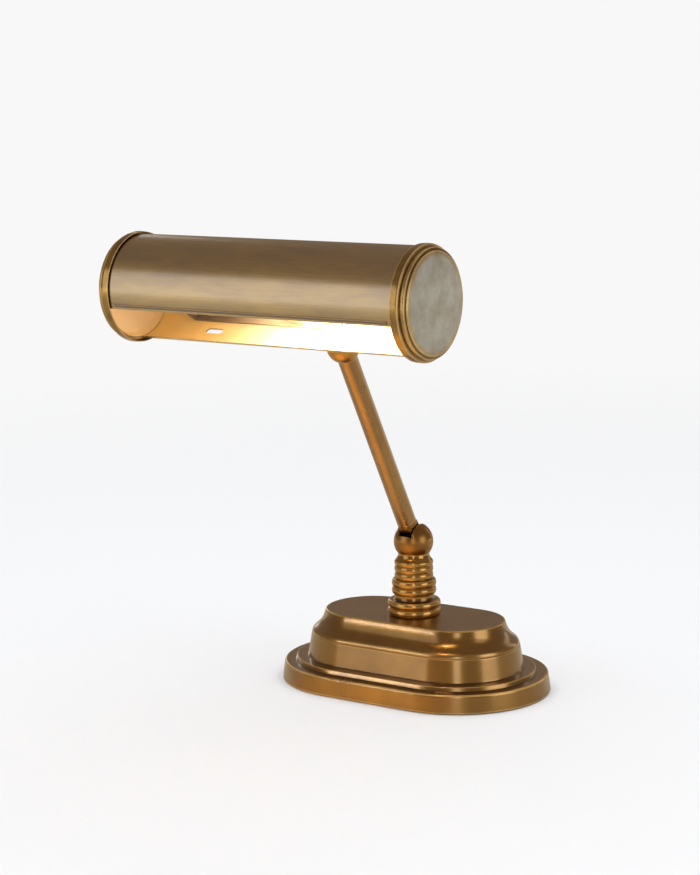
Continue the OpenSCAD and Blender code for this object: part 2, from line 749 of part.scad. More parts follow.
module lamp_cap() color(bright_brass) lamp_frame() turned_x([
    [0, lamp_cap_x], [lamp_cap_r - 2, lamp_cap_x], [lamp_cap_r, lamp_cap_x + 2], [lamp_cap_r, glass_x],
    [glass_neck_r - glass_wall - fit_gap, glass_x], [glass_neck_r - glass_wall - fit_gap, glass_x + 2],
    [0, glass_x + 2]]);

// The glass as a thin turned shell, open at its neck
glass_shoulder = glass_x + 12;
glass_end = glass_x + glass_length;

function glass_shell(inset) = concat(
    [[glass_neck_r - inset, glass_x], [glass_neck_r - inset, glass_x + 3]],
    [[glass_r - inset, glass_shoulder]],
    [for (i = [0 : curve_steps]) let (a = 90 * i / curve_steps)
        [(glass_r - inset) * cos(a), glass_end - glass_r + (glass_r - inset) * sin(a)]]);

module lamp_glass() color(warm_glass, 0.6) lamp_frame() difference() {
    turned_x(concat([[0, glass_x]], glass_shell(0)));
    turned_x(concat([[0, glass_x - cut], [glass_neck_r - glass_wall, glass_x - cut]],
                    glass_shell(glass_wall)));
}

stem_post_r = 2.2;
filament_r = 0.7;
filament_ring = 4.5;
filament_count = 4;
filament_length = 40;
filament_start = 22;
filament_x = glass_x + filament_start;

module lamp_stem() color(warm_glass) lamp_frame() {
    turned_x([[0, glass_x + 2], [stem_post_r, glass_x + 2], [stem_post_r, filament_x],
        [filament_ring + 2 * filament_r, filament_x], [filament_ring + 2 * filament_r, filament_x + 1],
        [0, filament_x + 1]]);
    for (i = [0 : filament_count - 1]) rotate([360 * i / filament_count, 0, 0])
        translate([filament_x, 0, filament_ring]) rotate([0, 90, 0])
            cylinder(r = filament_r, h = filament_length);
}

lead_turn = tail_x - 4;

module lamp_leads() color(flex_brown) stem_frame() wire([
    [0, 0, saddle_bottom + 2], [0, 0, lead_lane], [lead_turn, 0, lead_lane], [lead_turn, 0, lamp_height],
    [tail_x, 0, lamp_height]], lead_r);

base_shell();
ballast();
bottom_plate();
felt_pad();
plate_screws();
cable_inlet();
switch_body();
switch_ring();
switch_button();
switch_leads();
terminal_block();
terminal_screws();
column();
threaded_rod();
rod_nut();
rod_washer();
column_flex();
lower_ball();
lower_pin();
lower_washers();
lower_tongue();
arm_tube();
arm_flex();
upper_ball();
upper_pin();
upper_washers();
shade_stem();
shade_saddle();
stem_washer();
stem_nut();
shade_tube();
left_cap();
right_cap();
lamp_bracket();
lampholder();
holder_nut();
lamp_cap();
lamp_glass();
lamp_stem();
lamp_leads();
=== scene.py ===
"""Looks of a brass bankers lamp: meshes, finishes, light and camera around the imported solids."""

import logging
import math
from collections.abc import Callable, Sequence
from dataclasses import dataclass, replace
from enum import Enum
from typing import Any

import bmesh
import bpy
from mathutils import Matrix, Vector


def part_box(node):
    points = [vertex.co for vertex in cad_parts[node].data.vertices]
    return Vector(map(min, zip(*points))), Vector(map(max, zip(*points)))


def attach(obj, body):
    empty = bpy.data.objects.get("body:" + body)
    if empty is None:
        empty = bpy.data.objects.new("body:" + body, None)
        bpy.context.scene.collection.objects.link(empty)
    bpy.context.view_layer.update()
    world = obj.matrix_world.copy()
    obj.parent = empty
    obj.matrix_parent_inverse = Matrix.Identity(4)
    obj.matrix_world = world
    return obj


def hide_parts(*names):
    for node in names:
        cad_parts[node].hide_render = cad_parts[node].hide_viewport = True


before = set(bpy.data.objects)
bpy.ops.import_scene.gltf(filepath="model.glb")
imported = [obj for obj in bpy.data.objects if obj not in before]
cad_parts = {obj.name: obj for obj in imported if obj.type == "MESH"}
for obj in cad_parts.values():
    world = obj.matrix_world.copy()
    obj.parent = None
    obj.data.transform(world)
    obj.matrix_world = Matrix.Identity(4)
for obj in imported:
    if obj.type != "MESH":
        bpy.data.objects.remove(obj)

log = logging.getLogger("bankers_lamp")

MM = 0.001
# Width in millimetres of the rubbed band along an edge
WEAR_WIDTH = 0.8
# Radius in millimetres under which a ring of points is one point on the axis
ON_AXIS = 1e-6
# Sockets of a colour mix by number, because their names repeat for each kind of data
MIX_LOW = 6
MIX_HIGH = 7
MIX_OUT = 2
# Inputs that take the range of a pattern
FROM = ("From Min", "From Max")

Outline = list[tuple[float, float]]
Triple = tuple[float, float, float]
Span = tuple[float, float]
Socket = bpy.types.NodeSocket


class Side(Enum):
    """The two ends of the shade, as signs along X."""

    LEFT = -1
    RIGHT = 1


def linear(hex_colour: str) -> tuple[float, float, float, float]:
    """Turn an sRGB hex colour into a linear one, by the sRGB curve's own numbers.

    Args:
        hex_colour: Six hex digits after a hash sign.

    Returns:
        Red, green, blue and an alpha of one.
    """
    parts = [int(hex_colour[i:i + 2], 16) / 255 for i in (1, 3, 5)]
    red, green, blue = (p / 12.92 if p <= 0.04045 else ((p + 0.055) / 1.055) ** 2.4 for p in parts)
    return (red, green, blue, 1.0)


def add_node(tree: bpy.types.NodeTree, kind: str, inputs: dict[Any, Any] | None = None,
             **settings: Any) -> bpy.types.Node:
    """Add a node, set its properties, and set or link its inputs.

    Args:
        tree: The node tree that gets the node.
        kind: The node's type name.
        inputs: A value or an output socket for each input, by name or number.
        **settings: Properties of the node.

    Returns:
        The new node.
    """
    node = tree.nodes.new(kind)
    for name, value in settings.items():
        setattr(node, name, value)
    for key, value in (inputs or {}).items():
        if isinstance(value, Socket):
            tree.links.new(value, node.inputs[key])
        else:
            node.inputs[key].default_value = value
    return node


def new_material(name: str) -> tuple[bpy.types.Material, bpy.types.NodeTree, bpy.types.Node]:
    """Make an empty node material with one Principled shader.

    Args:
        name: The material's name.

    Returns:
        The material, its node tree and its shader node.
    """
    material = bpy.data.materials.new(name)
    material.use_nodes = True
    tree = material.node_tree
    tree.nodes.clear()
    shader = add_node(tree, "ShaderNodeBsdfPrincipled")
    add_node(tree, "ShaderNodeOutputMaterial", {"Surface": shader.outputs[0]})
    return material, tree, shader


@dataclass(frozen=True)
class AgedBrass:
    """Brass that was browned in a bath, rubbed back by hand and lacquered.

    The bath leaves soft cloudy patches, the rubbing brightens edges and leaves fine
    scratches, creases stay dark, and the lacquer lays a pale gloss over all of it.
    The scratches are drawn coarser than real ones, so that they show.
    """

    name: str
    rubbed: str
    patina: str
    edge: str
    cloud_mm: float
    smooth: float
    dull: float
    lacquer: float
    lacquer_blur: float
    lacquer_ior: float = 1.5
    # Colour of dirt in creases and pits, and of the painted shade under sunk
    grime_and_shade: str = "#33200f"
    grain_mm: float = 0.5
    grain_stretch: Triple = (1.0, 1.0, 1.0)
    grain_depth: float = 0.25
    scratch_mm: float = 0.02
    cloud_stretch: Triple = (1.0, 1.0, 1.0)
    speck_mm: float = 3.2
    speck_share: float = 0.0
    bloom: str = ""
    bloom_low: str = ""
    # Degrees about X that turn the patterns to the piece's own axis
    lean: float = 0.0
    streak: float = 0.12
    # Loss of metal shine on rubbed edges, and under the bloom
    scatter: float = 0.6
    film: float = 0.75
    # Place along the turned Z under which the metal is painted dark as the shade inside the ball's
    # slot, and the fade above it
    sunk: float = 0.0
    sunk_fade: float = 0.8
    # Parts of the noise patterns' range over which each effect goes from none to full
    cloud_span: Span = (0.32, 0.68)
    haze_span: Span = (0.3, 0.7)
    streak_span: Span = (0.25, 0.75)
    smear_span: Span = (0.34, 0.64)
    speck_span: Span = (0.66, 0.72)
    # The same for the wear that is stored on the mesh, and the most that shows of it
    wear_span: Span = (0.05, 0.75)
    wear_low: float = 0.5
    wear_share: float = 0.8
    crease_span: Span = (-0.1, -0.9)
    crease_share: float = 0.75

    def rubbing(self, tree: bpy.types.NodeTree, clouds: Socket) -> Socket:
        """Share of rubbed edge at each point, uneven with the clouds.

        Args:
            tree: The material's node tree.
            clouds: The cloudy pattern from 0 to 1.

        Returns:
            The share's socket.
        """
        wear = add_node(tree, "ShaderNodeAttribute", attribute_name="wear").outputs["Fac"]
        uneven = add_node(tree, "ShaderNodeMapRange", {
            "Value": clouds, **dict(zip(FROM, self.cloud_span)), "To Min": self.wear_low})
        rough_wear = add_node(tree, "ShaderNodeMath", {0: wear, 1: uneven.outputs[0]},
                              operation="MULTIPLY")
        bright = add_node(tree, "ShaderNodeMapRange", {
            "Value": rough_wear.outputs[0], **dict(zip(FROM, self.wear_span)),
            "To Max": self.wear_share})
        return bright.outputs[0]

    def ground(self, tree: bpy.types.NodeTree, clouds: Socket, grain: Socket) -> Socket:
        """Colour of the browned metal with its streaks.

        Args:
            tree: The material's node tree.
            clouds: The cloudy pattern from 0 to 1.
            grain: The fine pattern from 0 to 1.

        Returns:
            The colour's socket.
        """
        patches = add_node(tree, "ShaderNodeMapRange", {
            "Value": clouds, **dict(zip(FROM, self.cloud_span))})
        browned = add_node(tree, "ShaderNodeMix", {
            0: patches.outputs[0], MIX_LOW: linear(self.patina), MIX_HIGH: linear(self.rubbed)},
            data_type="RGBA")
        streaks = add_node(tree, "ShaderNodeMapRange", {
            "Value": grain, **dict(zip(FROM, self.streak_span)),
            "To Min": 1 - self.streak, "To Max": 1 + self.streak})
        streaked = add_node(tree, "ShaderNodeMix", {
            0: 1.0, MIX_LOW: browned.outputs[MIX_OUT], MIX_HIGH: streaks.outputs[0]},
            data_type="RGBA", blend_type="MULTIPLY")
        return streaked.outputs[MIX_OUT]

    def layers(self, tree: bpy.types.NodeTree, turned: Socket, clouds: Socket,
               bright: Socket) -> list[tuple[Socket, Any]]:
        """What lies over the browned metal, from the lowest layer up.

        Args:
            tree: The material's node tree.
            turned: Object coordinates, turned to the piece's own axis.
            clouds: The cloudy pattern from 0 to 1.
            bright: The share of rubbed edge.

        Returns:
            The share and the colour of each layer.
        """
        grime_and_shade = linear(self.grime_and_shade)
        wear = add_node(tree, "ShaderNodeAttribute", attribute_name="wear").outputs["Fac"]
        crease = add_node(tree, "ShaderNodeMapRange", {
            "Value": wear, **dict(zip(FROM, self.crease_span)), "To Max": self.crease_share})
        found = [(bright, linear(self.edge)), (crease.outputs[0], grime_and_shade)]
        if self.bloom:
            share = add_node(tree, "ShaderNodeAttribute", attribute_name="bloom").outputs["Fac"]
            smears = add_node(tree, "ShaderNodeMapRange", {
                "Value": clouds, **dict(zip(FROM, self.smear_span))})
            bloomed = add_node(tree, "ShaderNodeMix", {
                0: smears.outputs[0], MIX_LOW: linear(self.bloom_low), MIX_HIGH: linear(self.bloom)},
                data_type="RGBA")
            found.append((share, bloomed.outputs[MIX_OUT]))
        if self.speck_share:
            place = add_node(tree, "ShaderNodeTexCoord").outputs["Object"]
            pits = add_node(tree, "ShaderNodeTexNoise", {
                "Vector": place, "Scale": 1 / (self.speck_mm * MM), "Detail": 2.0, "Roughness": 0.7})
            specks = add_node(tree, "ShaderNodeMapRange", {
                "Value": pits.outputs["Fac"], **dict(zip(FROM, self.speck_span)),
                "To Max": self.speck_share})
            found.append((specks.outputs[0], grime_and_shade))
        # Painted shade: darker below a place along the turned Z, where the piece sits in the ball's
        # slot
        if self.sunk:
            along = add_node(tree, "ShaderNodeSeparateXYZ", {0: turned})
            slot_shade = add_node(tree, "ShaderNodeMapRange", {
                "Value": along.outputs["Z"], "From Min": self.sunk * MM,
                "From Max": (self.sunk - self.sunk_fade) * MM})
            found.append((slot_shade.outputs[0], grime_and_shade))
        return found

    def metal(self, tree: bpy.types.NodeTree, bright: Socket) -> Socket:
        """Share of metal shine, less on rubbed edges and under the bloom.

        Args:
            tree: The material's node tree.
            bright: The share of rubbed edge.

        Returns:
            The share's socket.
        """
        bare = add_node(tree, "ShaderNodeMapRange", {
            "Value": bright, "To Min": 1.0, "To Max": 1 - self.scatter}).outputs[0]
        if self.bloom:
            share = add_node(tree, "ShaderNodeAttribute", attribute_name="bloom").outputs["Fac"]
            film = add_node(tree, "ShaderNodeMapRange", {
                "Value": share, "To Min": 1.0, "To Max": 1 - self.film})
            bare = add_node(tree, "ShaderNodeMath", {0: bare, 1: film.outputs[0]},
                            operation="MULTIPLY").outputs[0]
        return bare

    def make(self) -> bpy.types.Material:
        """Build the material.

        Returns:
            The material.
        """
        material, tree, shader = new_material(self.name)
        place = add_node(tree, "ShaderNodeTexCoord").outputs["Object"]
        turned = add_node(tree, "ShaderNodeMapping", {
            "Vector": place, "Rotation": (math.radians(self.lean), 0, 0)}).outputs[0]
        drawn_out = add_node(tree, "ShaderNodeMapping", {
            "Vector": turned, "Scale": self.cloud_stretch})
        clouds = add_node(tree, "ShaderNodeTexNoise", {
            "Vector": drawn_out.outputs[0], "Scale": 1 / (self.cloud_mm * MM), "Detail": 5.0,
            "Roughness": 0.62}).outputs["Fac"]
        stretched = add_node(tree, "ShaderNodeMapping", {
            "Vector": turned, "Scale": self.grain_stretch})
        grain = add_node(tree, "ShaderNodeTexNoise", {
            "Vector": stretched.outputs[0], "Scale": 1 / (self.grain_mm * MM), "Detail": 3.0,
            "Roughness": 0.6}).outputs["Fac"]
        haze = add_node(tree, "ShaderNodeMapRange", {
            "Value": clouds, **dict(zip(FROM, self.haze_span)),
            "To Min": self.dull, "To Max": self.smooth})
        scratches = add_node(tree, "ShaderNodeBump", {
            "Strength": self.grain_depth, "Distance": self.scratch_mm * MM, "Height": grain})
        bright = self.rubbing(tree, clouds)
        colour = self.ground(tree, clouds, grain)
        for share, layer in self.layers(tree, turned, clouds, bright):
            colour = add_node(tree, "ShaderNodeMix", {0: share, MIX_LOW: colour, MIX_HIGH: layer},
                              data_type="RGBA").outputs[MIX_OUT]
        tree.links.new(colour, shader.inputs["Base Color"])
        tree.links.new(haze.outputs[0], shader.inputs["Roughness"])
        tree.links.new(scratches.outputs[0], shader.inputs["Normal"])
        if self.scatter or self.bloom:
            tree.links.new(self.metal(tree, bright), shader.inputs["Metallic"])
        else:
            shader.inputs["Metallic"].default_value = 1.0
        shader.inputs["Coat Weight"].default_value = self.lacquer
        shader.inputs["Coat Roughness"].default_value = self.lacquer_blur
        shader.inputs["Coat IOR"].default_value = self.lacquer_ior
        return material


@dataclass(frozen=True)
class Coating:
    """A paint, plastic, glaze, cloth or plain metal with a fine grain in colour and relief."""

    name: str
    colour: str
    shade: str
    roughness: float
    grain_mm: float
    relief: float = 0.1
    relief_mm: float = 0.05
    metallic: float = 0.0
    sheen: float = 0.0
    ior: float = 1.5
    # Colour that it fades to between two places along X, in millimetres: a painted fall-off of the
    # lamp's light
    far: str = ""
    far_from: float = 0.0
    far_to: float = 0.0

    def make(self) -> bpy.types.Material:
        """Build the material.

        Returns:
            The material.
        """
        material, tree, shader = new_material(self.name)
        place = add_node(tree, "ShaderNodeTexCoord").outputs["Object"]
        grain = add_node(tree, "ShaderNodeTexNoise", {
            "Vector": place, "Scale": 1 / (self.grain_mm * MM), "Detail": 3.0}).outputs["Fac"]
        mixed = add_node(tree, "ShaderNodeMix", {
            0: grain, MIX_LOW: linear(self.shade), MIX_HIGH: linear(self.colour)}, data_type="RGBA")
        if self.far:
            along = add_node(tree, "ShaderNodeSeparateXYZ", {0: place})
            share = add_node(tree, "ShaderNodeMapRange", {
                "Value": along.outputs["X"], "From Min": self.far_from * MM,
                "From Max": self.far_to * MM})
            mixed = add_node(tree, "ShaderNodeMix", {
                0: share.outputs[0], MIX_LOW: mixed.outputs[MIX_OUT], MIX_HIGH: linear(self.far)},
                data_type="RGBA")
        relief = add_node(tree, "ShaderNodeBump", {
            "Strength": self.relief, "Distance": self.relief_mm * MM, "Height": grain})
        tree.links.new(mixed.outputs[MIX_OUT], shader.inputs["Base Color"])
        tree.links.new(relief.outputs[0], shader.inputs["Normal"])
        shader.inputs["Roughness"].default_value = self.roughness
        shader.inputs["Metallic"].default_value = self.metallic
        shader.inputs["Sheen Weight"].default_value = self.sheen
        if not self.metallic:
            shader.inputs["IOR"].default_value = self.ior
        return material


@dataclass(frozen=True)
class LitGlass:
    """Frosted lamp glass, switched on: its skin glows, and most at the end of the filaments."""

    name: str
    glow: str
    strength: float
    frosted: str = "#fff1d6"
    roughness: float = 0.45
    frost_mm: float = 0.6
    frost_depth: float = 0.15
    frost_relief_mm: float = 0.02
    # Places along X between which the glow rises, and its share at the dark end
    dark_end: float = 2.0
    hot_from: float = 36.0
    dark_share: float = 0.03

    def make(self) -> bpy.types.Material:
        """Build the material.

        Returns:
            The material.
        """
        material, tree, shader = new_material(self.name)
        place = add_node(tree, "ShaderNodeTexCoord").outputs["Object"]
        frost = add_node(tree, "ShaderNodeTexNoise", {
            "Vector": place, "Scale": 1 / (self.frost_mm * MM), "Detail": 2.0})
        bump = add_node(tree, "ShaderNodeBump", {
            "Strength": self.frost_depth, "Distance": self.frost_relief_mm * MM,
            "Height": frost.outputs["Fac"]})
        along = add_node(tree, "ShaderNodeSeparateXYZ", {0: place})
        hot = add_node(tree, "ShaderNodeMapRange", {
            "Value": along.outputs["X"], "From Min": self.dark_end * MM,
            "From Max": self.hot_from * MM, "To Min": self.dark_share * self.strength,
            "To Max": self.strength}, interpolation_type="SMOOTHSTEP")
        tree.links.new(hot.outputs[0], shader.inputs["Emission Strength"])
        tree.links.new(bump.outputs[0], shader.inputs["Normal"])
        shader.inputs["Base Color"].default_value = linear(self.frosted)
        shader.inputs["Roughness"].default_value = self.roughness
        shader.inputs["Emission Color"].default_value = linear(self.glow)
        return material


class Finish(Enum):
    """The lamp's finishes, each by what the real surface is."""

    # Cast brass: even brown with bright edges under a clear lacquer
    CAST = AgedBrass("antique_cast_brass", "#a67d3b", "#946d30", "#dcae62", cloud_mm=30.0,
                     smooth=0.22, dull=0.28, lacquer=1.0, lacquer_blur=0.15, lacquer_ior=1.55)
    # The crown's flat top, brushed dull before the lacquer
    BRUSHED = replace(CAST, name="antique_brushed_brass", smooth=0.3, dull=0.36, lacquer_blur=0.3)
    # Turned brass that keeps the lathe's fine rings
    TURNED = AgedBrass("antique_turned_brass", "#be914a", "#a2773a", "#dcae62", cloud_mm=14.0,
                       smooth=0.15, dull=0.21, lacquer=0.6, lacquer_blur=0.08,
                       grain_stretch=(0.3, 0.3, 1.0), scatter=0.2)
    # Turned balls, rubbed to a satin gloss where the joints are handled
    SATIN = AgedBrass("antique_satin_brass", "#b0803f", "#936630", "#dcae62", cloud_mm=12.0,
                      smooth=0.27, dull=0.35, lacquer=0.4, lacquer_blur=0.15)
    # The upper ball, painted brighter and warmer for the bulb's light that reaches it
    PAINTED_LIT_SATIN = replace(SATIN, name="antique_satin_brass_painted_lit", rubbed="#e2ab57", patina="#c68f42",
                      edge="#ecc574")
    # Drawn tube, streaked along its length, with small dark pits left by the browning bath
    DRAWN = AgedBrass("antique_drawn_brass", "#b6883f", "#976b2e", "#cfa058", cloud_mm=7.0,
                      smooth=0.22, dull=0.32, lacquer=1.0, lacquer_blur=0.16, lacquer_ior=1.8,
                      grain_mm=0.8, grain_stretch=(1.0, 1.0, 0.05), cloud_stretch=(1.0, 1.0, 0.12),
                      lean=-29.6, speck_share=0.7)
    # The arm's tongue: as the tube, but painted dark as shade where the ball takes it in
    SLOT_SHADED = replace(DRAWN, name="antique_slot_shaded_brass", lacquer=0.3, lacquer_ior=1.5, grime_and_shade="#3a1c11",
                    cloud_stretch=(1.0, 1.0, 1.0), speck_share=0.0, sunk=92.4)
    # Rolled sheet brushed along its length, with faint brown streaks under a thick lacquer
    ROLLED = AgedBrass("antique_rolled_brass", "#b68f2a", "#916d1e", "#d9b672", cloud_mm=16.0,
                       smooth=0.37, dull=0.43, lacquer=1.0, lacquer_blur=0.26, lacquer_ior=3.0,
                       grain_mm=0.9, grain_stretch=(0.04, 1.0, 1.0), grain_depth=0.3,
                       cloud_stretch=(0.3, 1.0, 1.0), streak=0.15, scatter=0.0)
    # Pressed caps: brown rims, bright beads, and a pale grey bloom in smears on the faces
    PRESSED = AgedBrass("antique_pressed_brass", "#bb9751", "#937140", "#d8b984", cloud_mm=12.0,
                        smooth=0.19, dull=0.26, lacquer=0.6, lacquer_blur=0.12,
                        bloom="#a3a094", bloom_low="#8e8476")
    # Plain turned brass of the switch, nuts and small screws, with a fine even grain
    PLAIN = Coating("turned_brass", "#c89b4e", "#b58a42", roughness=0.3, grain_mm=0.5, metallic=1.0)
    # Cream paint on the lamp's strip, painted darker as shade, and darker still away from the lamp
    STRIP = Coating("cream_strip_paint", "#b7ab8f", "#ad9f7e", roughness=0.4, grain_mm=1.2,
                    far="#72604d", far_from=-14.0, far_to=-50.0)
    # Zinc on steel: cool grey, with a soft shine
    STEEL = Coating("zinc_plated_steel", "#a9adb0", "#969a9d", roughness=0.38, grain_mm=0.6,
                    metallic=1.0)
    # Iron as cast in sand: dark, rough and dull
    IRON = Coating("cast_iron", "#545456", "#3d3d3f", roughness=0.7, grain_mm=1.2, relief=0.5,
                   relief_mm=0.2, metallic=1.0)
    # Wool felt: dark green, with a soft edge to its light; its fibres are drawn coarser than real ones
    FELT = Coating("wool_felt", "#33443a", "#212d26", roughness=0.95, grain_mm=0.4, relief=0.7,
                   relief_mm=0.2, sheen=0.4)
    # Moulded phenolic: nearly black, with a dull gloss
    PHENOLIC = Coating("black_phenolic", "#2b2622", "#1f1b18", roughness=0.4, grain_mm=0.8, ior=1.6)
    # Glazed porcelain: warm white, and shiny
    PORCELAIN = Coating("glazed_porcelain", "#f3f0e8", "#e9e4d8", roughness=0.15, grain_mm=6.0)
    # Stove enamel inside the shade: slightly uneven, and painted yellower away from the lamp as its
    # light falls off
    ENAMEL = Coating("cream_stove_enamel", "#f9ecd2", "#f3e2c2", roughness=0.4, grain_mm=3.0,
                     relief=0.15, far="#fcdb90", far_from=-12.0, far_to=-58.0)
    # The same enamel inside the caps, as a creamier copy that is spared the painted fall-off, painted
    # light for the lamp's glow in them
    CAP_ENAMEL = Coating("cream_cap_enamel", "#ffe8bc", "#fadeac", roughness=0.4, grain_mm=3.0,
                         relief=0.15)
    # Cotton braid: brown and matt; its threads are drawn coarser than real ones
    FLEX = Coating("cotton_braided_flex", "#6b4728", "#4c311a", roughness=0.85, grain_mm=0.5,
                   relief=0.6, relief_mm=0.1, sheen=0.3)
    # The lamp's frosted glass, warm white where the filaments are
    GLASS = LitGlass("frosted_lamp_glass", "#ffeedd", strength=60.0)
    # The filament sticks inside it, more yellow
    FILAMENT = LitGlass("glowing_filament", "#ffb060", strength=30.0)


_made: dict[Finish, bpy.types.Material] = {}


def material_of(finish: Finish) -> bpy.types.Material:
    """Return the material of a finish, made once.

    Args:
        finish: The finish.

    Returns:
        Its material.
    """
    if finish not in _made:
        _made[finish] = finish.value.make()
    return _made[finish]


def arc(centre: tuple[float, float], radius: float, start: float, end: float, steps: int) -> Outline:
    """Points on an arc.

    Args:
        centre: The arc's centre.
        radius: Its radius.
        start: First angle in degrees.
        end: Last angle in degrees.
        steps: Number of equal parts.

    Returns:
        The points from start to end.
    """
    angles = (math.radians(start + (end - start) * i / steps) for i in range(steps + 1))
    return [(centre[0] + radius * math.cos(a), centre[1] + radius * math.sin(a)) for a in angles]


def cubic(start: Sequence[float], first: Sequence[float], second: Sequence[float],
          end: Sequence[float], steps: int) -> Outline:
    """Points on a cubic curve.

    Args:
        start: Where it starts.
        first: The point that it leaves towards.
        second: The point that it comes in from.
        end: Where it ends.
        steps: Number of parts.

    Returns:
        The points from start to end.
    """
    points = []
    for i in range(steps + 1):
        t = i / steps
        weights = ((1 - t) ** 3, 3 * t * (1 - t) ** 2, 3 * t * t * (1 - t), t ** 3)
        pulls = list(zip(weights, (start, first, second, end)))
        points.append(tuple(sum(w * p[k] for w, p in pulls) for k in (0, 1)))
    return points


def braced(outline: Outline, closed: bool) -> list[tuple[float, float, int]]:
    """Add a point near each end of an outline's long parts, so that wear stays near the edges.

    Args:
        outline: The outline's points.
        closed: Whether the last point joins the first.

    Returns:
        The points, each with the number of the outline's part that it starts or lies on.
    """
    points = []
    ends = outline[1:] + outline[:1]
    for number, (start, end) in enumerate(zip(outline, ends)):
        points.append((*start, number))
        length = math.dist(start, end)
        if length > 4 * WEAR_WIDTH and (closed or number < len(outline) - 1):
            for share in (WEAR_WIDTH / length, 1 - WEAR_WIDTH / length):
                points.append((*Vector(start).lerp(Vector(end), share), number))
    return points


def sweep(outline: Outline, half_run: float = 0.0, steps: int = 96,
          closed: bool = False) -> bmesh.types.BMesh:
    """Carry an outline of radius and height round a circle or an oval.

    Args:
        outline: Radius and height in millimetres.
        half_run: Half the oval's straight length; zero gives a turned piece.
        steps: Number of parts round the path.
        closed: Whether the outline's last point joins its first.

    Returns:
        The mesh in metres, with the number of each face's outline part in the layer named part.
    """
    path = []
    for end, sign in ((0, 1), (1, -1)):
        for i in range(steps // 2 + 1):
            if not half_run and i == steps // 2:
                continue
            angle = math.pi * (end + i / (steps // 2)) - math.pi / 2
            path.append((math.cos(angle), math.sin(angle), sign * half_run))
    bm = bmesh.new()
    part = bm.faces.layers.int.new("part")
    rings = []
    points = braced(outline, closed)
    for radius, height, _ in points:
        if radius < ON_AXIS and not half_run:
            rings.append([bm.verts.new((0, 0, height * MM))] * len(path))
            continue
        rings.append([bm.verts.new(((radius * c + shift) * MM, radius * s * MM, height * MM))
                      for c, s, shift in path])
    pairs = list(zip(rings, rings[1:])) + ([(rings[-1], rings[0])] if closed else [])
    for number, (low, high) in enumerate(pairs):
        for i in range(len(path)):
            j = (i + 1) % len(path)
            corners = list(dict.fromkeys((low[i], low[j], high[j], high[i])))
            if len(corners) > 2:
                bm.faces.new(corners)[part] = points[number][2]
    if not closed:
        for ring in (rings[0], rings[-1]):
            if len(set(ring)) > 2:
                bm.faces.new(ring)[part] = -1
    bmesh.ops.recalc_face_normals(bm, faces=bm.faces)
    return bm


def prism(section: Outline, low: float, high: float) -> bmesh.types.BMesh:
    """Carry a flat section in Y and Z along X.

    Args:
        section: The closed section's points in millimetres.
        low: First place along X in millimetres.
        high: Last place along X in millimetres.

    Returns:
        The closed mesh in metres.
    """
    bm = bmesh.new()
    places = (low, low + WEAR_WIDTH, high - WEAR_WIDTH, high)
    rings = [[bm.verts.new((x * MM, y * MM, z * MM)) for y, z in section] for x in places]
    count = len(section)
    for first, second in zip(rings, rings[1:]):
        for i in range(count):
            j = (i + 1) % count
            bm.faces.new((first[i], first[j], second[j], second[i]))
    for ring in (rings[0], rings[-1]):
        bm.faces.new(ring)
    bmesh.ops.recalc_face_normals(bm, faces=bm.faces)
    return bm


def to_object(bm: bmesh.types.BMesh, name: str, place: Matrix = Matrix.Identity(4)) -> bpy.types.Object:
    """Turn a mesh under construction into an object whose place is in its mesh.

    Args:
        bm: The mesh, which is freed.
        name: The object's name.
        place: Where the mesh goes, in metres.

    Returns:
        The object, linked to the scene.
    """
    bm.transform(place)
    mesh = bpy.data.meshes.new(name)
    bm.to_mesh(mesh)
    bm.free()
    obj = bpy.data.objects.new(name, mesh)
    bpy.context.scene.collection.objects.link(obj)
    return obj


def settle(obj: bpy.types.Object) -> None:
    """Apply an object's modifiers to its mesh and remove them.

    Args:
        obj: The object.
    """
    graph = bpy.context.evaluated_depsgraph_get()
    mesh = bpy.data.meshes.new_from_object(obj.evaluated_get(graph))
    obj.modifiers.clear()
    obj.data = mesh


def cut_away(obj: bpy.types.Object, cutters: list[bpy.types.Object]) -> None:
    """Cut other objects out of an object, and remove them.

    Args:
        obj: The object that is cut.
        cutters: The closed objects that are cut away.
    """
    for cutter in cutters:
        cut = obj.modifiers.new("cut", "BOOLEAN")
        cut.object = cutter
        cut.solver = "EXACT"
        settle(obj)
        bpy.data.objects.remove(cutter)


def soften(obj: bpy.types.Object, width_mm: float, angle: float = 30.0, segments: int = 2) -> None:
    """Round an object's sharp edges.

    Args:
        obj: The object.
        width_mm: Width of the rounding.
        angle: Edges that turn by more than this many degrees are rounded.
        segments: Parts of the rounding.
    """
    bevel = obj.modifiers.new("soften", "BEVEL")
    bevel.width = width_mm * MM
    bevel.segments = segments
    bevel.limit_method = "ANGLE"
    bevel.angle_limit = math.radians(angle)
    bevel.harden_normals = False
    settle(obj)


def shade_smooth(obj: bpy.types.Object, angle: float = 30.0) -> None:
    """Shade an object smoothly, apart from edges that turn by more than an angle in degrees."""
    obj.data.shade_smooth()
    obj.data.set_sharp_from_angle(angle=math.radians(angle))


def mark_wear(obj: bpy.types.Object, gentle: float = 4.0, sharp: float = 16.0) -> None:
    """Store how much each point is a rubbed edge, up to 1, or a dark crease, down to -1.

    Args:
        obj: The piece.
        gentle: Edges that turn by fewer degrees don't count.
        sharp: Edges that turn by more degrees count fully.
    """
    bm = bmesh.new()
    bm.from_mesh(obj.data)
    values = [0.0] * len(bm.verts)
    for edge in bm.edges:
        if len(edge.link_faces) == 2:
            turn = math.degrees(edge.calc_face_angle_signed(0.0))
            share = min(max((abs(turn) - gentle) / (sharp - gentle), 0.0), 1.0)
            for vert in edge.verts:
                if share > abs(values[vert.index]):
                    values[vert.index] = share if turn > 0 else -share
    bm.free()
    wear = obj.data.attributes.new("wear", "FLOAT", "POINT")
    wear.data.foreach_set("value", values)


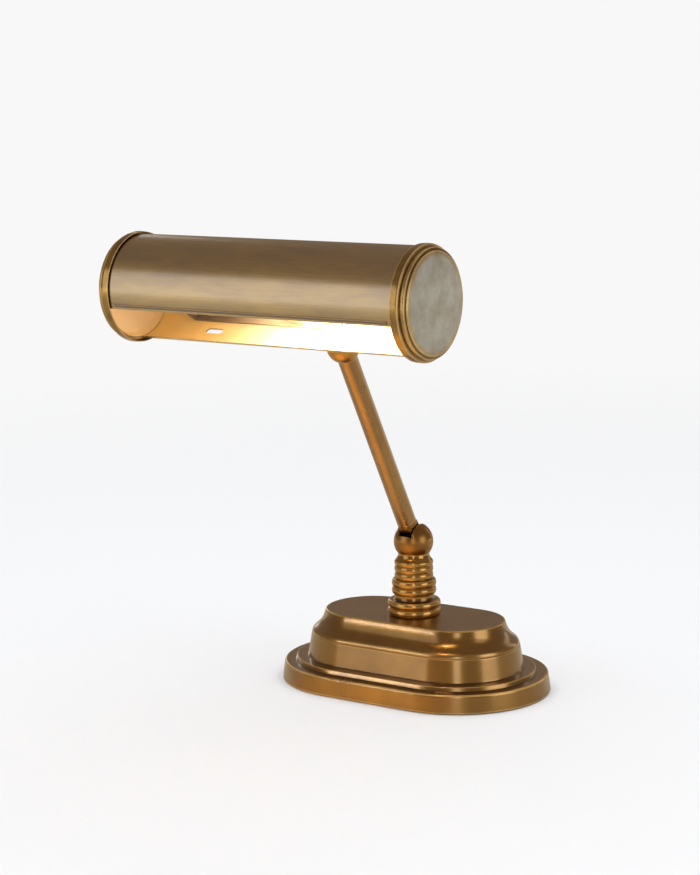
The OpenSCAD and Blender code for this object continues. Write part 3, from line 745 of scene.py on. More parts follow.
def dress(obj: bpy.types.Object, finishes: Sequence[Finish],
          choose: Callable[[bpy.types.MeshPolygon], int] | None = None) -> None:
    """Give an object its materials.

    Args:
        obj: The object.
        finishes: The finishes in order.
        choose: Picks a finish's number for each face; the first finish if left out.
    """
    obj.data.materials.clear()
    for finish in finishes:
        obj.data.materials.append(material_of(finish))
    for face in obj.data.polygons:
        face.material_index = choose(face) if choose else 0


def mount_piece(obj: bpy.types.Object, body: str, slot: str, *nodes: str) -> None:
    """Let a finished piece ride on a body, in place of its solids.

    Args:
        obj: The piece.
        body: The body that it moves with.
        slot: The record's material slot; not used.
        *nodes: The solids that it stands for.
    """
    mark_wear(obj)
    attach(obj, body)
    if nodes:
        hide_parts(*nodes)
    log.info("%s: %d faces on %s", obj.name, len(obj.data.polygons), body)


@dataclass
class Base:
    """The stepped oval base on the desk, in millimetres.

    Each tier has a radius at the oval's ends, a top, a draft, the angle of its wall in
    degrees, and a rounding of its upper edge.
    """

    half_run: float = 32.0
    edge_gap: float = 0.6
    foot_r: float = 58.0
    foot_lip: float = 0.4
    foot_draft: float = 1.3
    foot_angle: float = 5.0
    foot_top: float = 12.0
    foot_round: float = 1.3
    step_r: float = 48.8
    step_draft: float = 0.5
    step_angle: float = 15.0
    step_top: float = 14.8
    step_round: float = 0.6
    wall_r: float = 40.6
    wall_draft: float = 0.8
    wall_angle: float = 8.0
    wall_top: float = 29.2
    shoulder_r: float = 39.15
    arris: float = 0.25
    quirk: float = 0.3
    # How far the ogee swells above the shoulder and dips before the crown, as shares of its rise
    swell: float = 0.36
    drop: float = 0.8
    scoop: float = 3.0
    crown_r: float = 30.0
    crown_z: float = 45.0
    crown_angle: float = 15.0
    crown_round: float = 1.2
    fillet: float = 0.5
    wall: float = 2.2
    cove: float = 4.0
    # Holes for the switch and the cable inlet
    hole_slack: float = 0.1
    hole_step: float = 1.1
    hole_in: float = 12.0
    hole_out: float = 8.0
    inlet_flange: float = 1.5

    def edge(self, radius: float, top: float, size: float, angle: float, steps: int = 6) -> Outline:
        """An upper edge's rounding.

        Args:
            radius: The tier's radius.
            top: Its top.
            size: The rounding's radius.
            angle: The angle of the wall below it.
            steps: Number of parts.

        Returns:
            The points from the wall to the top.
        """
        return arc((radius - size, top - size), size, angle, 90, steps)

    def corner(self, radius: float, level: float, angle: float) -> Outline:
        """The fillet between a level and the wall that stands on it.

        Args:
            radius: The wall's radius at its foot.
            level: The level's height.
            angle: The wall's angle.

        Returns:
            The points from the level to the wall.
        """
        return arc((radius + self.fillet, level + self.fillet), self.fillet, 270, 180 + angle, 4)

    def outline(self) -> Outline:
        """Outline of the shell's outside.

        Returns:
            Radius and height of the points, from the desk to the crown.
        """
        points: Outline = [(self.foot_r - self.wall - self.foot_draft, self.edge_gap),
                           (self.foot_r - self.foot_lip, self.edge_gap),
                           (self.foot_r, self.edge_gap + self.foot_lip)]
        foot_edge = self.foot_r - self.foot_draft
        points += self.edge(foot_edge, self.foot_top, self.foot_round, self.foot_angle)
        points += self.corner(self.step_r + self.step_draft, self.foot_top, self.step_angle)
        points += self.edge(self.step_r, self.step_top, self.step_round, self.step_angle)
        points += self.corner(self.wall_r + self.wall_draft, self.step_top, self.wall_angle)
        points += self.edge(self.shoulder_r, self.wall_top, self.arris, self.wall_angle, 4)
        crown = self.edge(self.crown_r, self.crown_z, self.crown_round, self.crown_angle)
        rise = self.crown_z - self.wall_top
        ogee_r = self.shoulder_r - self.quirk
        points += cubic((ogee_r, self.wall_top), (ogee_r, self.wall_top + self.swell * rise),
                        (self.crown_r + self.scoop, self.crown_z - self.drop * rise), crown[0], 24)
        points += crown[1:]
        points.append((self.crown_r - self.crown_round - WEAR_WIDTH, self.crown_z))
        return points

    def inside(self) -> Outline:
        """Outline of the shell's hollow.

        Returns:
            Radius and height of the points, from the desk to the ceiling.
        """
        foot_r = self.foot_r - self.foot_draft - self.wall
        wall_r = self.shoulder_r - self.wall
        crown_r = self.crown_r - self.wall
        ledge = self.wall_top - self.wall
        return [(foot_r, self.edge_gap), (foot_r, self.foot_top - self.wall),
                (wall_r, self.foot_top - self.wall), (wall_r, ledge), (crown_r, ledge + self.cove),
                (crown_r, self.crown_z - self.wall)]

    def hole(self, node: str) -> bpy.types.Object:
        """Make the cutter for the stepped hole that a solid sits in.

        Args:
            node: The solid, in the back of the base.

        Returns:
            The cutter.
        """
        low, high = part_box(node)
        radius = (high.x - low.x) / 2 / MM + self.hole_slack
        barrel = radius - self.hole_step
        middle = (low + high) / 2
        turn = Matrix.Translation((middle.x, 0, middle.z)) @ Matrix.Rotation(-math.pi / 2, 4, "X")
        seat = (low.y if node == "switch_ring" else high.y - self.inlet_flange * MM) / MM
        inner = seat - self.hole_in
        outer = seat + self.hole_out
        step = [(0, inner), (barrel, inner), (barrel, seat), (radius, seat), (radius, outer),
                (0, outer)]
        return to_object(sweep(step, steps=48), "cutter", turn)

    def shell(self) -> bpy.types.Object:
        """Build the brass shell, with the holes for switch and inlet.

        Returns:
            The shell.
        """
        outline = self.inside()[::-1] + self.outline()[1:]
        obj = to_object(sweep(outline, self.half_run, 160), "brass_base_shell")
        cut_away(obj, [self.hole(node) for node in ("switch_ring", "cable_inlet")])
        shade_smooth(obj, 32)
        flat = (self.crown_z - self.fillet / 10) * MM
        dress(obj, [Finish.CAST, Finish.BRUSHED], lambda face: int(face.center.z > flat))
        mount_piece(obj, "base", "antique_brass", "base_shell")
        return obj


@dataclass
class Column:
    """The ringed column that carries the lower knuckle, in millimetres."""

    foot: float = 45.0
    collar_pitch: float = 4.8
    collar_r: float = 16.8
    collar_notch: float = 1.8
    band_r: float = 12.6
    band_height: float = 3.6
    band_fillet: float = 0.5
    band_edge: float = 0.3
    middle_pitch: float = 4.85
    middle_r: float = 14.1
    middle_notch: float = 1.5
    upper_pitch: float = 4.35
    upper_r: float = 12.3
    upper_notch: float = 1.0
    # Where the last ring runs into the neck, and how the neck's curve leaves and ends
    neck_start: int = 8
    neck_dip: float = 0.6
    neck_rise: float = 1.2
    neck_flare: float = 0.1
    neck_fall: float = 2.6
    neck_r: float = 9.8
    neck_height: float = 3.25
    bore_r: float = 5.05
    # Below 1 the rings are fuller than half circles
    fullness: float = 0.8

    def ring(self, low: float, pitch: float, radius: float, notch: float, steps: int = 14) -> Outline:
        """A round ring's outline.

        Args:
            low: The ring's lower edge.
            pitch: Its height.
            radius: Its widest radius.
            notch: Depth of the groove between rings.
            steps: Parts of the outline.

        Returns:
            Radius and height of the ring's points.
        """
        points = []
        for i in range(steps + 1):
            turn = math.pi * i / steps
            points.append((radius - notch + notch * math.sin(turn) ** self.fullness,
                           low + pitch * (1 - math.cos(turn)) / 2))
        return points

    def build(self) -> None:
        """Build the turned column."""
        collar = (self.collar_pitch, self.collar_r, self.collar_notch)
        middle = (self.middle_pitch, self.middle_r, self.middle_notch)
        upper = (self.upper_pitch, self.upper_r, self.upper_notch)
        points: Outline = [(self.bore_r, self.foot)]
        height = self.foot
        for size in (collar, collar):
            points += self.ring(height, *size)
            height += size[0]
        points += [(self.band_r + self.band_fillet, height), (self.band_r, height + self.band_fillet)]
        height += self.band_height
        points += [(self.band_r, height - self.band_edge)]
        for size in (middle, middle, upper, upper):
            points += self.ring(height, *size)
            height += size[0]
        last = self.ring(height, *upper)[:self.neck_start + 1]
        points += last
        top = height + self.upper_pitch + self.neck_height
        points += cubic(last[-1], (self.upper_r - self.neck_dip, last[-1][1] + self.neck_rise),
                        (self.neck_r + self.neck_flare, top - self.neck_fall),
                        (self.neck_r, top), 12)[1:]
        points += [(self.bore_r, top)]
        obj = to_object(sweep(points, steps=128, closed=True), "ringed_column")
        shade_smooth(obj, 50)
        dress(obj, [Finish.TURNED])
        mount_piece(obj, "base", "antique_brass", "column")


@dataclass
class Knuckle:
    """A ball with a slot in which a tongue swings about the X axis, in millimetres and degrees.

    The ball is cut flat at its seat below the middle. The slot's width is along X, its floor
    is round with the radius half, and its sides lean apart.
    """

    name: str
    node: str
    body: str
    place: Matrix
    ball_r: float
    seat: float
    slot: float
    half: float
    lean: float
    pin_r: float
    finish: Finish = Finish.SATIN
    arris: float = 0.3

    def build(self) -> None:
        """Build the slotted ball, with its edges lightly rounded."""
        start = math.degrees(math.asin(-self.seat / self.ball_r))
        points: Outline = [(0.0, -self.seat)] + arc((0.0, 0.0), self.ball_r, start, 90, 40)
        points[-1] = (0.0, self.ball_r)
        obj = to_object(sweep(points), self.name)
        lean = math.radians(self.lean)
        far = 3 * self.ball_r
        out = self.half * math.cos(lean) + far * math.sin(lean)
        up = far * math.cos(lean) - self.half * math.sin(lean)
        section: Outline = [(-out, up)]
        section += arc((0.0, 0.0), self.half, 180 + self.lean, 360 - self.lean, 24)
        section += [(out, up)]
        slot = to_object(prism(section, -self.slot / 2, self.slot / 2), "slot")
        rod = [(0, -far), (self.pin_r, -far), (self.pin_r, far), (0, far)]
        pin = to_object(sweep(rod, steps=48), "pin", Matrix.Rotation(math.pi / 2, 4, "Y"))
        cut_away(obj, [slot, pin])
        soften(obj, self.arris)
        obj.data.transform(self.place)
        shade_smooth(obj)
        dress(obj, [self.finish])
        mount_piece(obj, self.body, "antique_brass", self.node)


@dataclass
class Arm:
    """The leaning arm between the two knuckles, in millimetres along its own axis."""

    hinge_z: float = 91.8
    lean: float = 29.6
    reach: float = 152.5
    tube_r: float = 6.1
    wall: float = 1.0
    seam: float = 16.0
    seam_gap: float = 0.05
    seat: float = 7.9
    seat_gap: float = 0.02
    edge: float = 0.35

    def place(self) -> Matrix:
        """The arm's axis from the lower hinge."""
        turn = Matrix.Rotation(math.radians(self.lean), 4, "X")
        return Matrix.Translation((0, 0, self.hinge_z * MM)) @ turn

    def upper_place(self) -> Matrix:
        """The arm's axis from the upper hinge."""
        return self.place() @ Matrix.Translation((0, 0, self.reach * MM))

    def tube(self) -> None:
        """Build the drawn tube."""
        top = self.reach - self.seat
        bore = self.tube_r - self.wall
        points = [(bore, self.seam + self.edge), (self.tube_r - self.edge, self.seam + self.seam_gap),
                  (self.tube_r, self.seam + self.edge), (self.tube_r, (self.seam + top) / 2),
                  (self.tube_r, top - self.seat_gap), (bore, top - self.seat_gap)]
        obj = to_object(sweep(points, steps=64, closed=True), "arm_tube_drawn", self.place())
        shade_smooth(obj)
        dress(obj, [Finish.DRAWN])
        mount_piece(obj, "arm", "antique_brass", "arm_tube")


@dataclass
class Shade:
    """The half-open tube shade with its hem and end caps, about its own axis.

    Sizes are in millimetres. Angles are in degrees, from the front through the bottom.
    """

    centre_y: float = -141.93
    centre_z: float = 262.24
    radius: float = 31.2
    wall: float = 1.0
    half: float = 100.3
    front: float = 18.6
    rear: float = 97.0
    steps: int = 120
    hem_top: float = 12.4
    hem_low: float = 17.0
    hem_proud: float = 1.1
    hem_sunk: float = 0.3
    hem_half: float = 93.9
    vent_x: float = -56.5
    vent_length: float = 12.0
    vent_width: float = 4.6
    vent_angle: float = 121.0
    vent_reach: float = 3.0
    cap_r: float = 32.65
    cap_height: float = 7.4
    cap_wall: float = 1.2
    skirt: float = 3.5
    gap: float = 0.85
    lip: float = 0.2
    lip_width: float = 0.45
    bead_r: float = 30.9
    bead_depth: float = 0.6
    bead_low: float = 2.2
    bead_high: float = 4.7
    face_r: float = 29.0
    face_round: float = 0.9
    face_low: float = 4.9
    face_mid: float = 5.1
    ledge_gap: float = 0.6
    bloom_fade: float = 2.0
    bloom_from: float = 0.6

    def place(self) -> Matrix:
        """The shade's axis."""
        return Matrix.Translation((0, self.centre_y * MM, self.centre_z * MM))

    def section_arc(self, radius: float, start: float, end: float, steps: int) -> Outline:
        """Points in Y and Z on a circle about the axis, by angles from the front through the bottom."""
        return arc((0.0, 0.0), -radius, start, end, steps)

    def vent(self) -> bpy.types.Object:
        """Make the cutter for the vent slot.

        Returns:
            The cutter, through the sheet's wall.
        """
        lift = Matrix.Rotation(math.radians(self.vent_angle - 90), 4, "X")
        half_run = (self.vent_length - self.vent_width) / 2
        ends = [(self.vent_width / 2, -self.radius - self.vent_reach),
                (self.vent_width / 2, -self.radius / 2)]
        turn = Matrix.Translation((self.vent_x * MM, 0, 0)) @ lift
        return to_object(sweep(ends, half_run, 32), "vent", turn)

    def tube(self) -> None:
        """Build the rolled sheet, enamelled inside, with its vent slot."""
        bore = self.radius - self.wall
        section = self.section_arc(self.radius, self.rear, 360 + self.front, self.steps)
        section += self.section_arc(bore, 360 + self.front, self.rear, self.steps)
        obj = to_object(prism(section, -self.half, self.half), "rolled_shade_tube")
        cut_away(obj, [self.vent()])
        inner = (bore + 0.3 * self.wall) * MM
        dress(obj, [Finish.ROLLED, Finish.ENAMEL],
              lambda face: int(math.hypot(face.center.y, face.center.z) < inner))
        obj.data.transform(self.place())
        shade_smooth(obj)
        mount_piece(obj, "shade", "dark_brass", "shade_tube")

    def hem(self) -> None:
        """Build the folded hem on the front edge."""
        low = self.hem_low
        top = self.hem_top
        section = self.section_arc(self.radius - self.hem_sunk, low, top, 6)
        # Height over the sheet as a share of the hem's, and angle: a narrow fold, a groove, a wide fold
        folds = ((0.1, top), (0.7, top + 0.15), (1.0, top + 0.5), (1.0, top + 0.9),
                 (0.85, top + 1.1), (0.35, top + 1.25), (0.3, top + 3.0), (0.75, top + 3.15),
                 (0.9, top + 3.4), (0.9, low - 0.5), (0.6, low - 0.15), (0.3, low))
        for rise, angle in folds:
            section += self.section_arc(self.radius + rise * self.hem_proud, angle, angle, 1)[:1]
        obj = to_object(prism(section, -self.hem_half, self.hem_half), "folded_hem", self.place())
        shade_smooth(obj)
        dress(obj, [Finish.ROLLED])
        mount_piece(obj, "shade", "dark_brass")

    def cap_outside(self) -> Outline:
        """Outline of an end cap's outside: lip, flared skirt, groove, bead and domed face.

        Returns:
            Radius and place along the axis, from the skirt's edge to the middle of the face.
        """
        skirt_in = self.radius + self.gap
        end = self.half
        low = end - self.skirt
        points: Outline = [(skirt_in, low + self.lip), (skirt_in + self.lip, low),
                           (skirt_in + self.lip_width, low + self.lip)]
        # The points that draw the skirt's flare, then the groove under the bead
        points += cubic((skirt_in + 0.5, low + 0.7), (self.cap_r - 0.1, low + 1.7),
                        (self.cap_r + 0.25, end), (self.cap_r - 0.15, end + 1.2), 12)
        points += [(self.bead_r + 0.2, end + 1.65), (self.bead_r - 0.5, end + 1.9)]
        bead_middle = end + (self.bead_low + self.bead_high) / 2
        bead_half = (self.bead_high - self.bead_low) / 2
        bead_steps = 12
        for i in range(bead_steps + 1):
            turn = math.pi * i / bead_steps
            points.append((self.bead_r + self.bead_depth * (math.sin(turn) - 1),
                           bead_middle - bead_half * math.cos(turn)))
        points += [(self.face_r, end + self.face_low)]
        points += arc((self.face_r - self.face_round, end + self.face_mid), self.face_round, 0, 80, 6)
        rim = points[-1]
        top = end + self.cap_height
        points += cubic(rim, (0.7 * self.face_r, rim[1] + 0.5), (0.3 * self.face_r, top),
                        (0.0, top), 14)[1:]
        return points

    def cap_inside(self) -> Outline:
        """Outline of an end cap's inside.

        Returns:
            Radius and place along the axis, from the middle of the face to the sheet's end.
        """
        height = self.cap_height
        floor = self.half - self.cap_wall
        ledge = self.radius - self.wall - self.ledge_gap
        return [(0.0, floor + height), (self.face_r / 2, floor + 0.95 * height),
                (self.face_r - self.cap_wall - 0.4, floor + 0.76 * height),
                (ledge - 0.8, self.half + 0.3 * height), (ledge, self.half),
                (self.radius + self.gap, self.half)]

    def cap(self, side: Side) -> None:
        """Build one end cap, enamelled inside, with the bloom on its face stored on its points.

        Args:
            side: The end that it closes.
        """
        outside = self.cap_outside()
        points = outside + self.cap_inside()
        bm = sweep(points, steps=128, closed=True)
        part = bm.faces.layers.int["part"]
        bm.faces.ensure_lookup_table()
        parts = [face[part] for face in bm.faces]
        turn = Matrix.Rotation(side.value * math.pi / 2, 4, "Y")
        obj = to_object(bm, f"{side.name.lower()}_end_cap", self.place() @ turn)
        shade_smooth(obj, 35)
        enamelled = range(len(outside) - 1, len(points) - 2)
        dress(obj, [Finish.PRESSED, Finish.CAP_ENAMEL],
              lambda face: int(parts[face.index] in enamelled))
        bloom = obj.data.attributes.new("bloom", "FLOAT", "POINT")
        outer = (self.half + self.bloom_from * self.cap_height) * MM
        for vert, share in zip(obj.data.vertices, bloom.data):
            away = math.hypot(vert.co.y / MM - self.centre_y, vert.co.z / MM - self.centre_z)
            edge = (self.face_r - self.face_round - away) / self.bloom_fade
            share.value = min(max(edge, 0.0), 1.0) if abs(vert.co.x) > outer else 0.0
        mount_piece(obj, "shade", "antique_brass", f"{side.name.lower()}_cap")


@dataclass
class PlateScrews:
    """The four countersunk screws that hold the bottom plate, repeated by a node tree."""

    head_r: float = 3.6
    thread_r: float = 2.0
    length: float = 8.0
    head_height: float = 1.5

    def tree(self) -> bpy.types.NodeTree:
        """Build the tree: a cone and a thread on the corners of a grid.

        Returns:
            The tree, with named inputs for its sizes.
        """
        tree = bpy.data.node_groups.new("plate_screws", "GeometryNodeTree")
        for name in ("Spread X", "Spread Y", "Height", "Head Radius", "Thread Radius", "Head Height",
                     "Length"):
            tree.interface.new_socket(name, in_out="INPUT", socket_type="NodeSocketFloat")
        tree.interface.new_socket("Geometry", in_out="OUTPUT", socket_type="NodeSocketGeometry")
        sizes = add_node(tree, "NodeGroupInput").outputs
        head = add_node(tree, "GeometryNodeMeshCone", {
            "Vertices": 24, "Radius Top": sizes["Thread Radius"],
            "Radius Bottom": sizes["Head Radius"], "Depth": sizes["Head Height"]})
        thread = add_node(tree, "GeometryNodeMeshCylinder", {
            "Vertices": 24, "Radius": sizes["Thread Radius"], "Depth": sizes["Length"]})
        half = add_node(tree, "ShaderNodeMath", {0: sizes["Length"], 1: 0.5}, operation="MULTIPLY")
        lift = add_node(tree, "ShaderNodeCombineXYZ", {"Z": half.outputs[0]})
        raised = add_node(tree, "GeometryNodeTransform", {
            0: thread.outputs[0], "Translation": lift.outputs[0]})
        screw = add_node(tree, "GeometryNodeJoinGeometry")
        for piece in (head, raised):
            tree.links.new(piece.outputs[0], screw.inputs[0])
        grid = add_node(tree, "GeometryNodeMeshGrid", {
            "Size X": sizes["Spread X"], "Size Y": sizes["Spread Y"], "Vertices X": 2, "Vertices Y": 2})
        level = add_node(tree, "ShaderNodeCombineXYZ", {"Z": sizes["Height"]})
        corners = add_node(tree, "GeometryNodeTransform", {
            0: grid.outputs[0], "Translation": level.outputs[0]})
        placed = add_node(tree, "GeometryNodeInstanceOnPoints", {
            "Points": corners.outputs[0], "Instance": screw.outputs[0]})
        real = add_node(tree, "GeometryNodeRealizeInstances", {0: placed.outputs[0]})
        dressed = add_node(tree, "GeometryNodeSetMaterial", {
            0: real.outputs[0], "Material": material_of(Finish.STEEL)})
        add_node(tree, "NodeGroupOutput", {0: dressed.outputs[0]})
        return tree

    def build(self) -> None:
        """Build the screws at the corners that the solids have."""
        low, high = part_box("plate_screws")
        tree = self.tree()
        obj = bpy.data.objects.new("countersunk_plate_screws", bpy.data.meshes.new("plate_screws"))
        bpy.context.scene.collection.objects.link(obj)
        nodes = obj.modifiers.new("repeat", "NODES")
        nodes.node_group = tree
        head = 2 * self.head_r * MM
        sizes = {"Spread X": high.x - low.x - head, "Spread Y": high.y - low.y - head,
                 "Height": low.z, "Head Radius": self.head_r * MM,
                 "Thread Radius": self.thread_r * MM, "Head Height": self.head_height * MM,
                 "Length": self.length * MM}
        for socket in tree.interface.items_tree:
            if socket.in_out == "INPUT":
                nodes[socket.identifier] = sizes[socket.name]
        settle(obj)
        shade_smooth(obj)
        mount_piece(obj, "base", "steel", "plate_screws")


# Finish of each solid that isn't replaced
SOLID_FINISHES = {
    "ballast": Finish.IRON, "bottom_plate": Finish.STEEL, "felt_pad": Finish.FELT,
    "cable_inlet": Finish.PHENOLIC, "switch_body": Finish.PHENOLIC, "switch_ring": Finish.PLAIN,
    "switch_button": Finish.PLAIN, "switch_leads": Finish.FLEX, "terminal_block": Finish.PORCELAIN,
    "terminal_screws": Finish.PLAIN, "threaded_rod": Finish.PLAIN, "rod_nut": Finish.PLAIN,
    "rod_washer": Finish.STEEL, "column_flex": Finish.FLEX, "lower_pin": Finish.TURNED,
    "lower_washers": Finish.PLAIN, "lower_tongue": Finish.SLOT_SHADED, "arm_flex": Finish.FLEX,
    "upper_pin": Finish.TURNED, "upper_washers": Finish.PLAIN, "shade_stem": Finish.TURNED,
    "shade_saddle": Finish.TURNED, "stem_washer": Finish.STEEL, "stem_nut": Finish.STRIP,
    "lamp_bracket": Finish.STRIP, "lampholder": Finish.PORCELAIN, "holder_nut": Finish.PLAIN,
    "lamp_cap": Finish.PLAIN, "lamp_glass": Finish.GLASS, "lamp_stem": Finish.FILAMENT,
    "lamp_leads": Finish.FLEX,
}


def dress_solids() -> None:
    """Give each solid that isn't replaced its finish."""
    for node, finish in SOLID_FINISHES.items():
        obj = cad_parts[node]
        obj.data.materials.clear()
        obj.data.materials.append(material_of(finish))
        log.info("%s: %s", node, finish.name.lower())


@dataclass
class Studio:
    """The pale room: floor, soft lamps, world and camera."""

    # Millimetres, degrees, and pixels of the photograph's height
    camera_at: Triple = (746.51, -1175.59, 402.39)
    yaw: float = 34.02
    pitch: float = 9.932
    roll: float = -0.96
    focal_px: float = 2258.04
    frame_px: float = 875.0
    sensor: float = 36.0
    clip_end: float = 50.0
    floor_r: float = 9000.0
    # Metres from the origin over which the floor fades to white
    fade_from: float = 0.45
    fade_to: float = 1.5
    pale: str = "#eeeff1"
    white: str = "#f8f8f8"
    # Colours of room and floor as the brass reflects them
    room: str = "#828282"
    ceiling: str = "#8a7b6a"
    dim_floor: str = "#b5aa96"
    far_floor: str = "#e3dac2"
    # The bulb's pool of light, painted as a glow on the floor that only the brass sees, in metres
    warm: str = "#ffca80"
    warm_light: float = 1.4
    warm_at: tuple[float, float] = (-0.02, -0.2)
    warm_from: float = 0.03
    warm_to: float = 0.2

    def camera(self) -> None:
        """Put the camera where the photograph was taken from."""
        yaw, pitch, roll = (math.radians(a) for a in (self.yaw, self.pitch, self.roll))
        level = Vector((math.cos(yaw), math.sin(yaw), 0))
        outward = Vector((math.sin(yaw), -math.cos(yaw), 0))
        back = math.cos(pitch) * outward + Vector((0, 0, math.sin(pitch)))
        upright = back.cross(level)
        right = math.cos(roll) * level + math.sin(roll) * upright
        up = back.cross(right)
        data = bpy.data.cameras.new("photo_camera")
        data.sensor_width = self.sensor
        data.lens = self.focal_px * data.sensor_width / self.frame_px
        data.clip_end = self.clip_end
        obj = bpy.data.objects.new("photo_camera", data)
        turn = Matrix((right, up, back)).transposed().to_4x4()
        obj.matrix_world = Matrix.Translation(Vector(self.camera_at) * MM) @ turn
        bpy.context.scene.collection.objects.link(obj)
        bpy.context.scene.camera = obj

    def floor_material(self) -> bpy.types.Material:
        """Make the floor's material, on which a painted pool of the bulb's light glows, seen only in
        the brass.

        Returns:
            The material.
        """
        material, tree, shader = new_material("pale_studio_floor")
        shader.inputs["Roughness"].default_value = 0.9
        shader.inputs["Specular IOR Level"].default_value = 0.1
        place = add_node(tree, "ShaderNodeTexCoord").outputs["Object"]
        distance = add_node(tree, "ShaderNodeVectorMath", {0: place}, operation="LENGTH")
        far = add_node(tree, "ShaderNodeMapRange", {
            "Value": distance.outputs["Value"], "From Min": self.fade_from, "From Max": self.fade_to},
            interpolation_type="SMOOTHSTEP")
        under = add_node(tree, "ShaderNodeVectorMath", {0: place, 1: (*self.warm_at, 0)},
                         operation="DISTANCE")
        near = add_node(tree, "ShaderNodeMapRange", {
            "Value": under.outputs["Value"], "From Min": self.warm_to, "From Max": self.warm_from},
            interpolation_type="SMOOTHSTEP")
        mirrored = add_node(tree, "ShaderNodeLightPath").outputs["Is Glossy Ray"]
        lit = add_node(tree, "ShaderNodeMath", {0: near.outputs[0], 1: mirrored}, operation="MULTIPLY")
        tone = add_node(tree, "ShaderNodeMix", {
            0: mirrored, MIX_LOW: linear(self.pale), MIX_HIGH: linear(self.dim_floor)},
            data_type="RGBA")
        tree.links.new(tone.outputs[MIX_OUT], shader.inputs["Base Color"])
        pool = add_node(tree, "ShaderNodeEmission", {
            "Color": linear(self.warm), "Strength": self.warm_light})
        pooled = add_node(tree, "ShaderNodeMixShader", {
            0: lit.outputs[0], 1: shader.outputs[0], 2: pool.outputs[0]})
        away = add_node(tree, "ShaderNodeMix", {
            0: mirrored, MIX_LOW: linear(self.white), MIX_HIGH: linear(self.far_floor)},
            data_type="RGBA")
        white = add_node(tree, "ShaderNodeEmission", {"Color": away.outputs[MIX_OUT], "Strength": 1.0})
        mixed = add_node(tree, "ShaderNodeMixShader", {
            0: far.outputs[0], 1: pooled.outputs[0], 2: white.outputs[0]})
        surface = next(node for node in tree.nodes if node.type == "OUTPUT_MATERIAL")
        tree.links.new(mixed.outputs[0], surface.inputs["Surface"])
        return material

    def floor(self) -> None:
        """Lay the pale floor, which the bulb doesn't light."""
        bm = bmesh.new()
        bmesh.ops.create_circle(bm, cap_ends=True, radius=self.floor_r * MM, segments=96)
        obj = to_object(bm, "pale_floor")
        obj.data.materials.append(self.floor_material())
        unlit = self.receivers("not_lit_by_the_bulb", obj, "EXCLUDE")
        for node in ("lamp_glass", "lamp_stem"):
            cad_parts[node].light_linking.receiver_collection = unlit

    def world(self) -> None:
        """Make the room white to the eye, and dim in the brass."""
        world = bpy.data.worlds.new("soft_studio")
        bpy.context.scene.world = world
        world.use_nodes = True
        tree = world.node_tree
        tree.nodes.clear()
        rays = add_node(tree, "ShaderNodeLightPath").outputs
        above = add_node(tree, "ShaderNodeMix", {
            0: rays["Is Glossy Ray"], MIX_LOW: linear(self.room), MIX_HIGH: linear(self.ceiling)},
            data_type="RGBA")
        tone = add_node(tree, "ShaderNodeMix", {
            0: rays["Is Camera Ray"], MIX_LOW: above.outputs[MIX_OUT], MIX_HIGH: linear(self.white)},
            data_type="RGBA")
        glow = add_node(tree, "ShaderNodeBackground", {"Color": tone.outputs[MIX_OUT], "Strength": 1.0})
        add_node(tree, "ShaderNodeOutputWorld", {0: glow.outputs[0]})

    def receivers(self, name: str, obj: bpy.types.Object, state: str) -> bpy.types.Collection:
        """Make the collection by which a lamp lights one object alone, or spares it.

        Args:
            name: The collection's name.
            obj: The object.
            state: INCLUDE or EXCLUDE.

        Returns:
            The collection.
        """
        found = bpy.data.collections.new(name)
        found.objects.link(obj)
        found.collection_objects[0].light_linking.link_state = state
        return found

    def lamp(self, name: str, at: Triple, aim: Triple, size: tuple[float, float],
             power: float) -> bpy.types.Object:
        """Add one soft white area lamp.

        Args:
            name: The lamp's name.
            at: Its place in metres.
            aim: The point that it faces.
            size: Its width and height in metres.
            power: Its power in watts.

        Returns:
            The lamp.
        """
        data = bpy.data.lights.new(name, "AREA")
        data.shape = "RECTANGLE"
        data.size, data.size_y = size
        data.energy = power
        obj = bpy.data.objects.new(name, data)
        obj.visible_camera = False
        obj.location = at
        obj.rotation_euler = (Vector(aim) - Vector(at)).to_track_quat("-Z", "Y").to_euler()
        bpy.context.scene.collection.objects.link(obj)
        return obj

    def build(self, base: bpy.types.Object) -> None:
        """Set up camera, floor, world and lamps.

        Args:
            base: The base's shell, which has lamps of its own and is spared by the front softbox.
        """
        self.camera()
        self.floor()
        self.world()
        top = self.lamp("top_softbox", (0.0, -0.05, 2.6), (0, -0.05, 0), (4.5, 4.5), 108.0)
        top.visible_glossy = False
        front = self.lamp("front_left_softbox", (-1.0, -1.75, 0.66), (0, -0.1, 0.25), (1.25, 1.26), 4.6)
        spared = self.receivers("not_lit_by_the_softbox", base, "EXCLUDE")
        front.light_linking.receiver_collection = spared
        self.lamp("right_strip", (1.9, -0.03, 0.5), (0, 0, 0.1), (1.1, 1.0), 5.0)
        self.lamp("camera_strip", (1.05, -1.8, 0.5), (0, 0, 0.1), (0.42, 1.0), 2.4)
        self.lamp("rear_left_strip", (-1.5, 1.2, 0.6), (0, 0, 0.15), (0.4, 1.0), 1.2)
        self.lamp("rear_right_strip", (0.5, 1.8, 0.7), (0, 0, 0.15), (0.4, 1.0), 0.7)
        lit = self.receivers("lit_by_the_base_lamps", base, "INCLUDE")
        for lamp in (self.lamp("base_strip", (-1.07, -1.72, 0.53), (0, -0.05, 0.0), (0.36, 0.12), 1.3),
                     self.lamp("base_softbox", (-1.0, -1.75, 1.05), (0, 0, 0.04), (0.8, 1.3), 1.8),
                     self.lamp("base_side_softbox", (1.9, -0.03, 1.2), (0, 0, 0.04), (0.9, 0.8), 1.3),
                     self.lamp("wall_strip", (-1.0, -1.75, 0.1), (0, 0, 0.02), (0.4, 0.2), 0.33)):
            lamp.light_linking.receiver_collection = lit
        bpy.context.scene.view_settings.view_transform = "Standard"


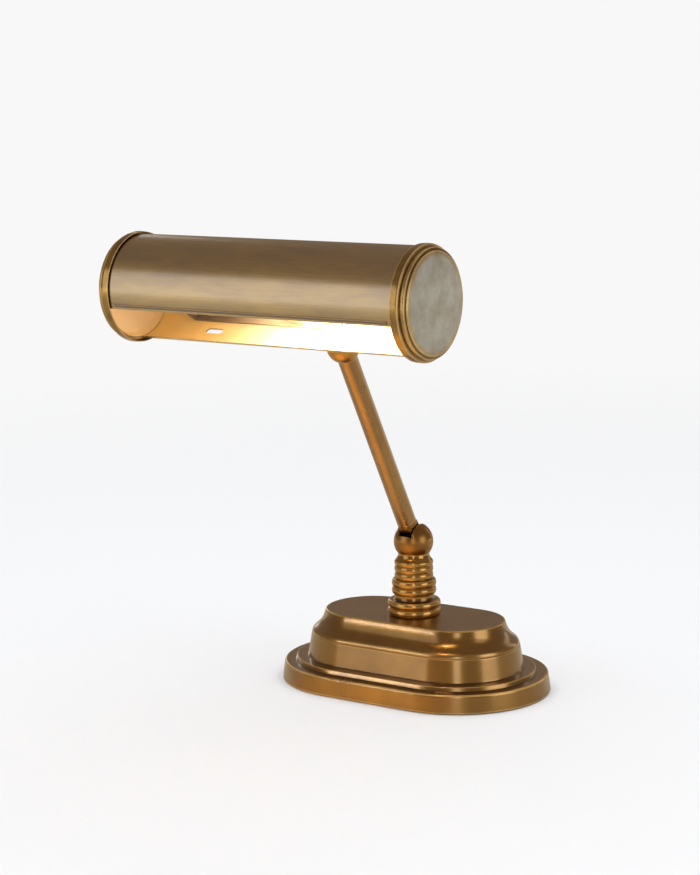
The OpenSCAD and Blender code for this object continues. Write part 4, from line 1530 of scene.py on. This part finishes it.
def main() -> None:
    """Build the lamp in order."""
    logging.basicConfig(level=logging.INFO, format="%(name)s: %(message)s")
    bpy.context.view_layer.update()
    dress_solids()
    base = Base().shell()
    Column().build()
    arm = Arm()
    lower = Matrix.Translation((0, 0, arm.hinge_z * MM))
    Knuckle("lower_knuckle_ball", "lower_ball", "base", lower, ball_r=12.5, seat=7.6, slot=10.0,
            half=5.3, lean=42.0, pin_r=2.5).build()
    Knuckle("upper_knuckle_ball", "upper_ball", "arm", arm.upper_place(), ball_r=10.0, seat=7.9,
            slot=8.0, half=4.5, lean=45.0, pin_r=2.0, finish=Finish.PAINTED_LIT_SATIN).build()
    arm.tube()
    shade = Shade()
    shade.tube()
    shade.hem()
    for side in Side:
        shade.cap(side)
    PlateScrews().build()
    Studio().build(base)


if __name__ == "__main__":
    main()
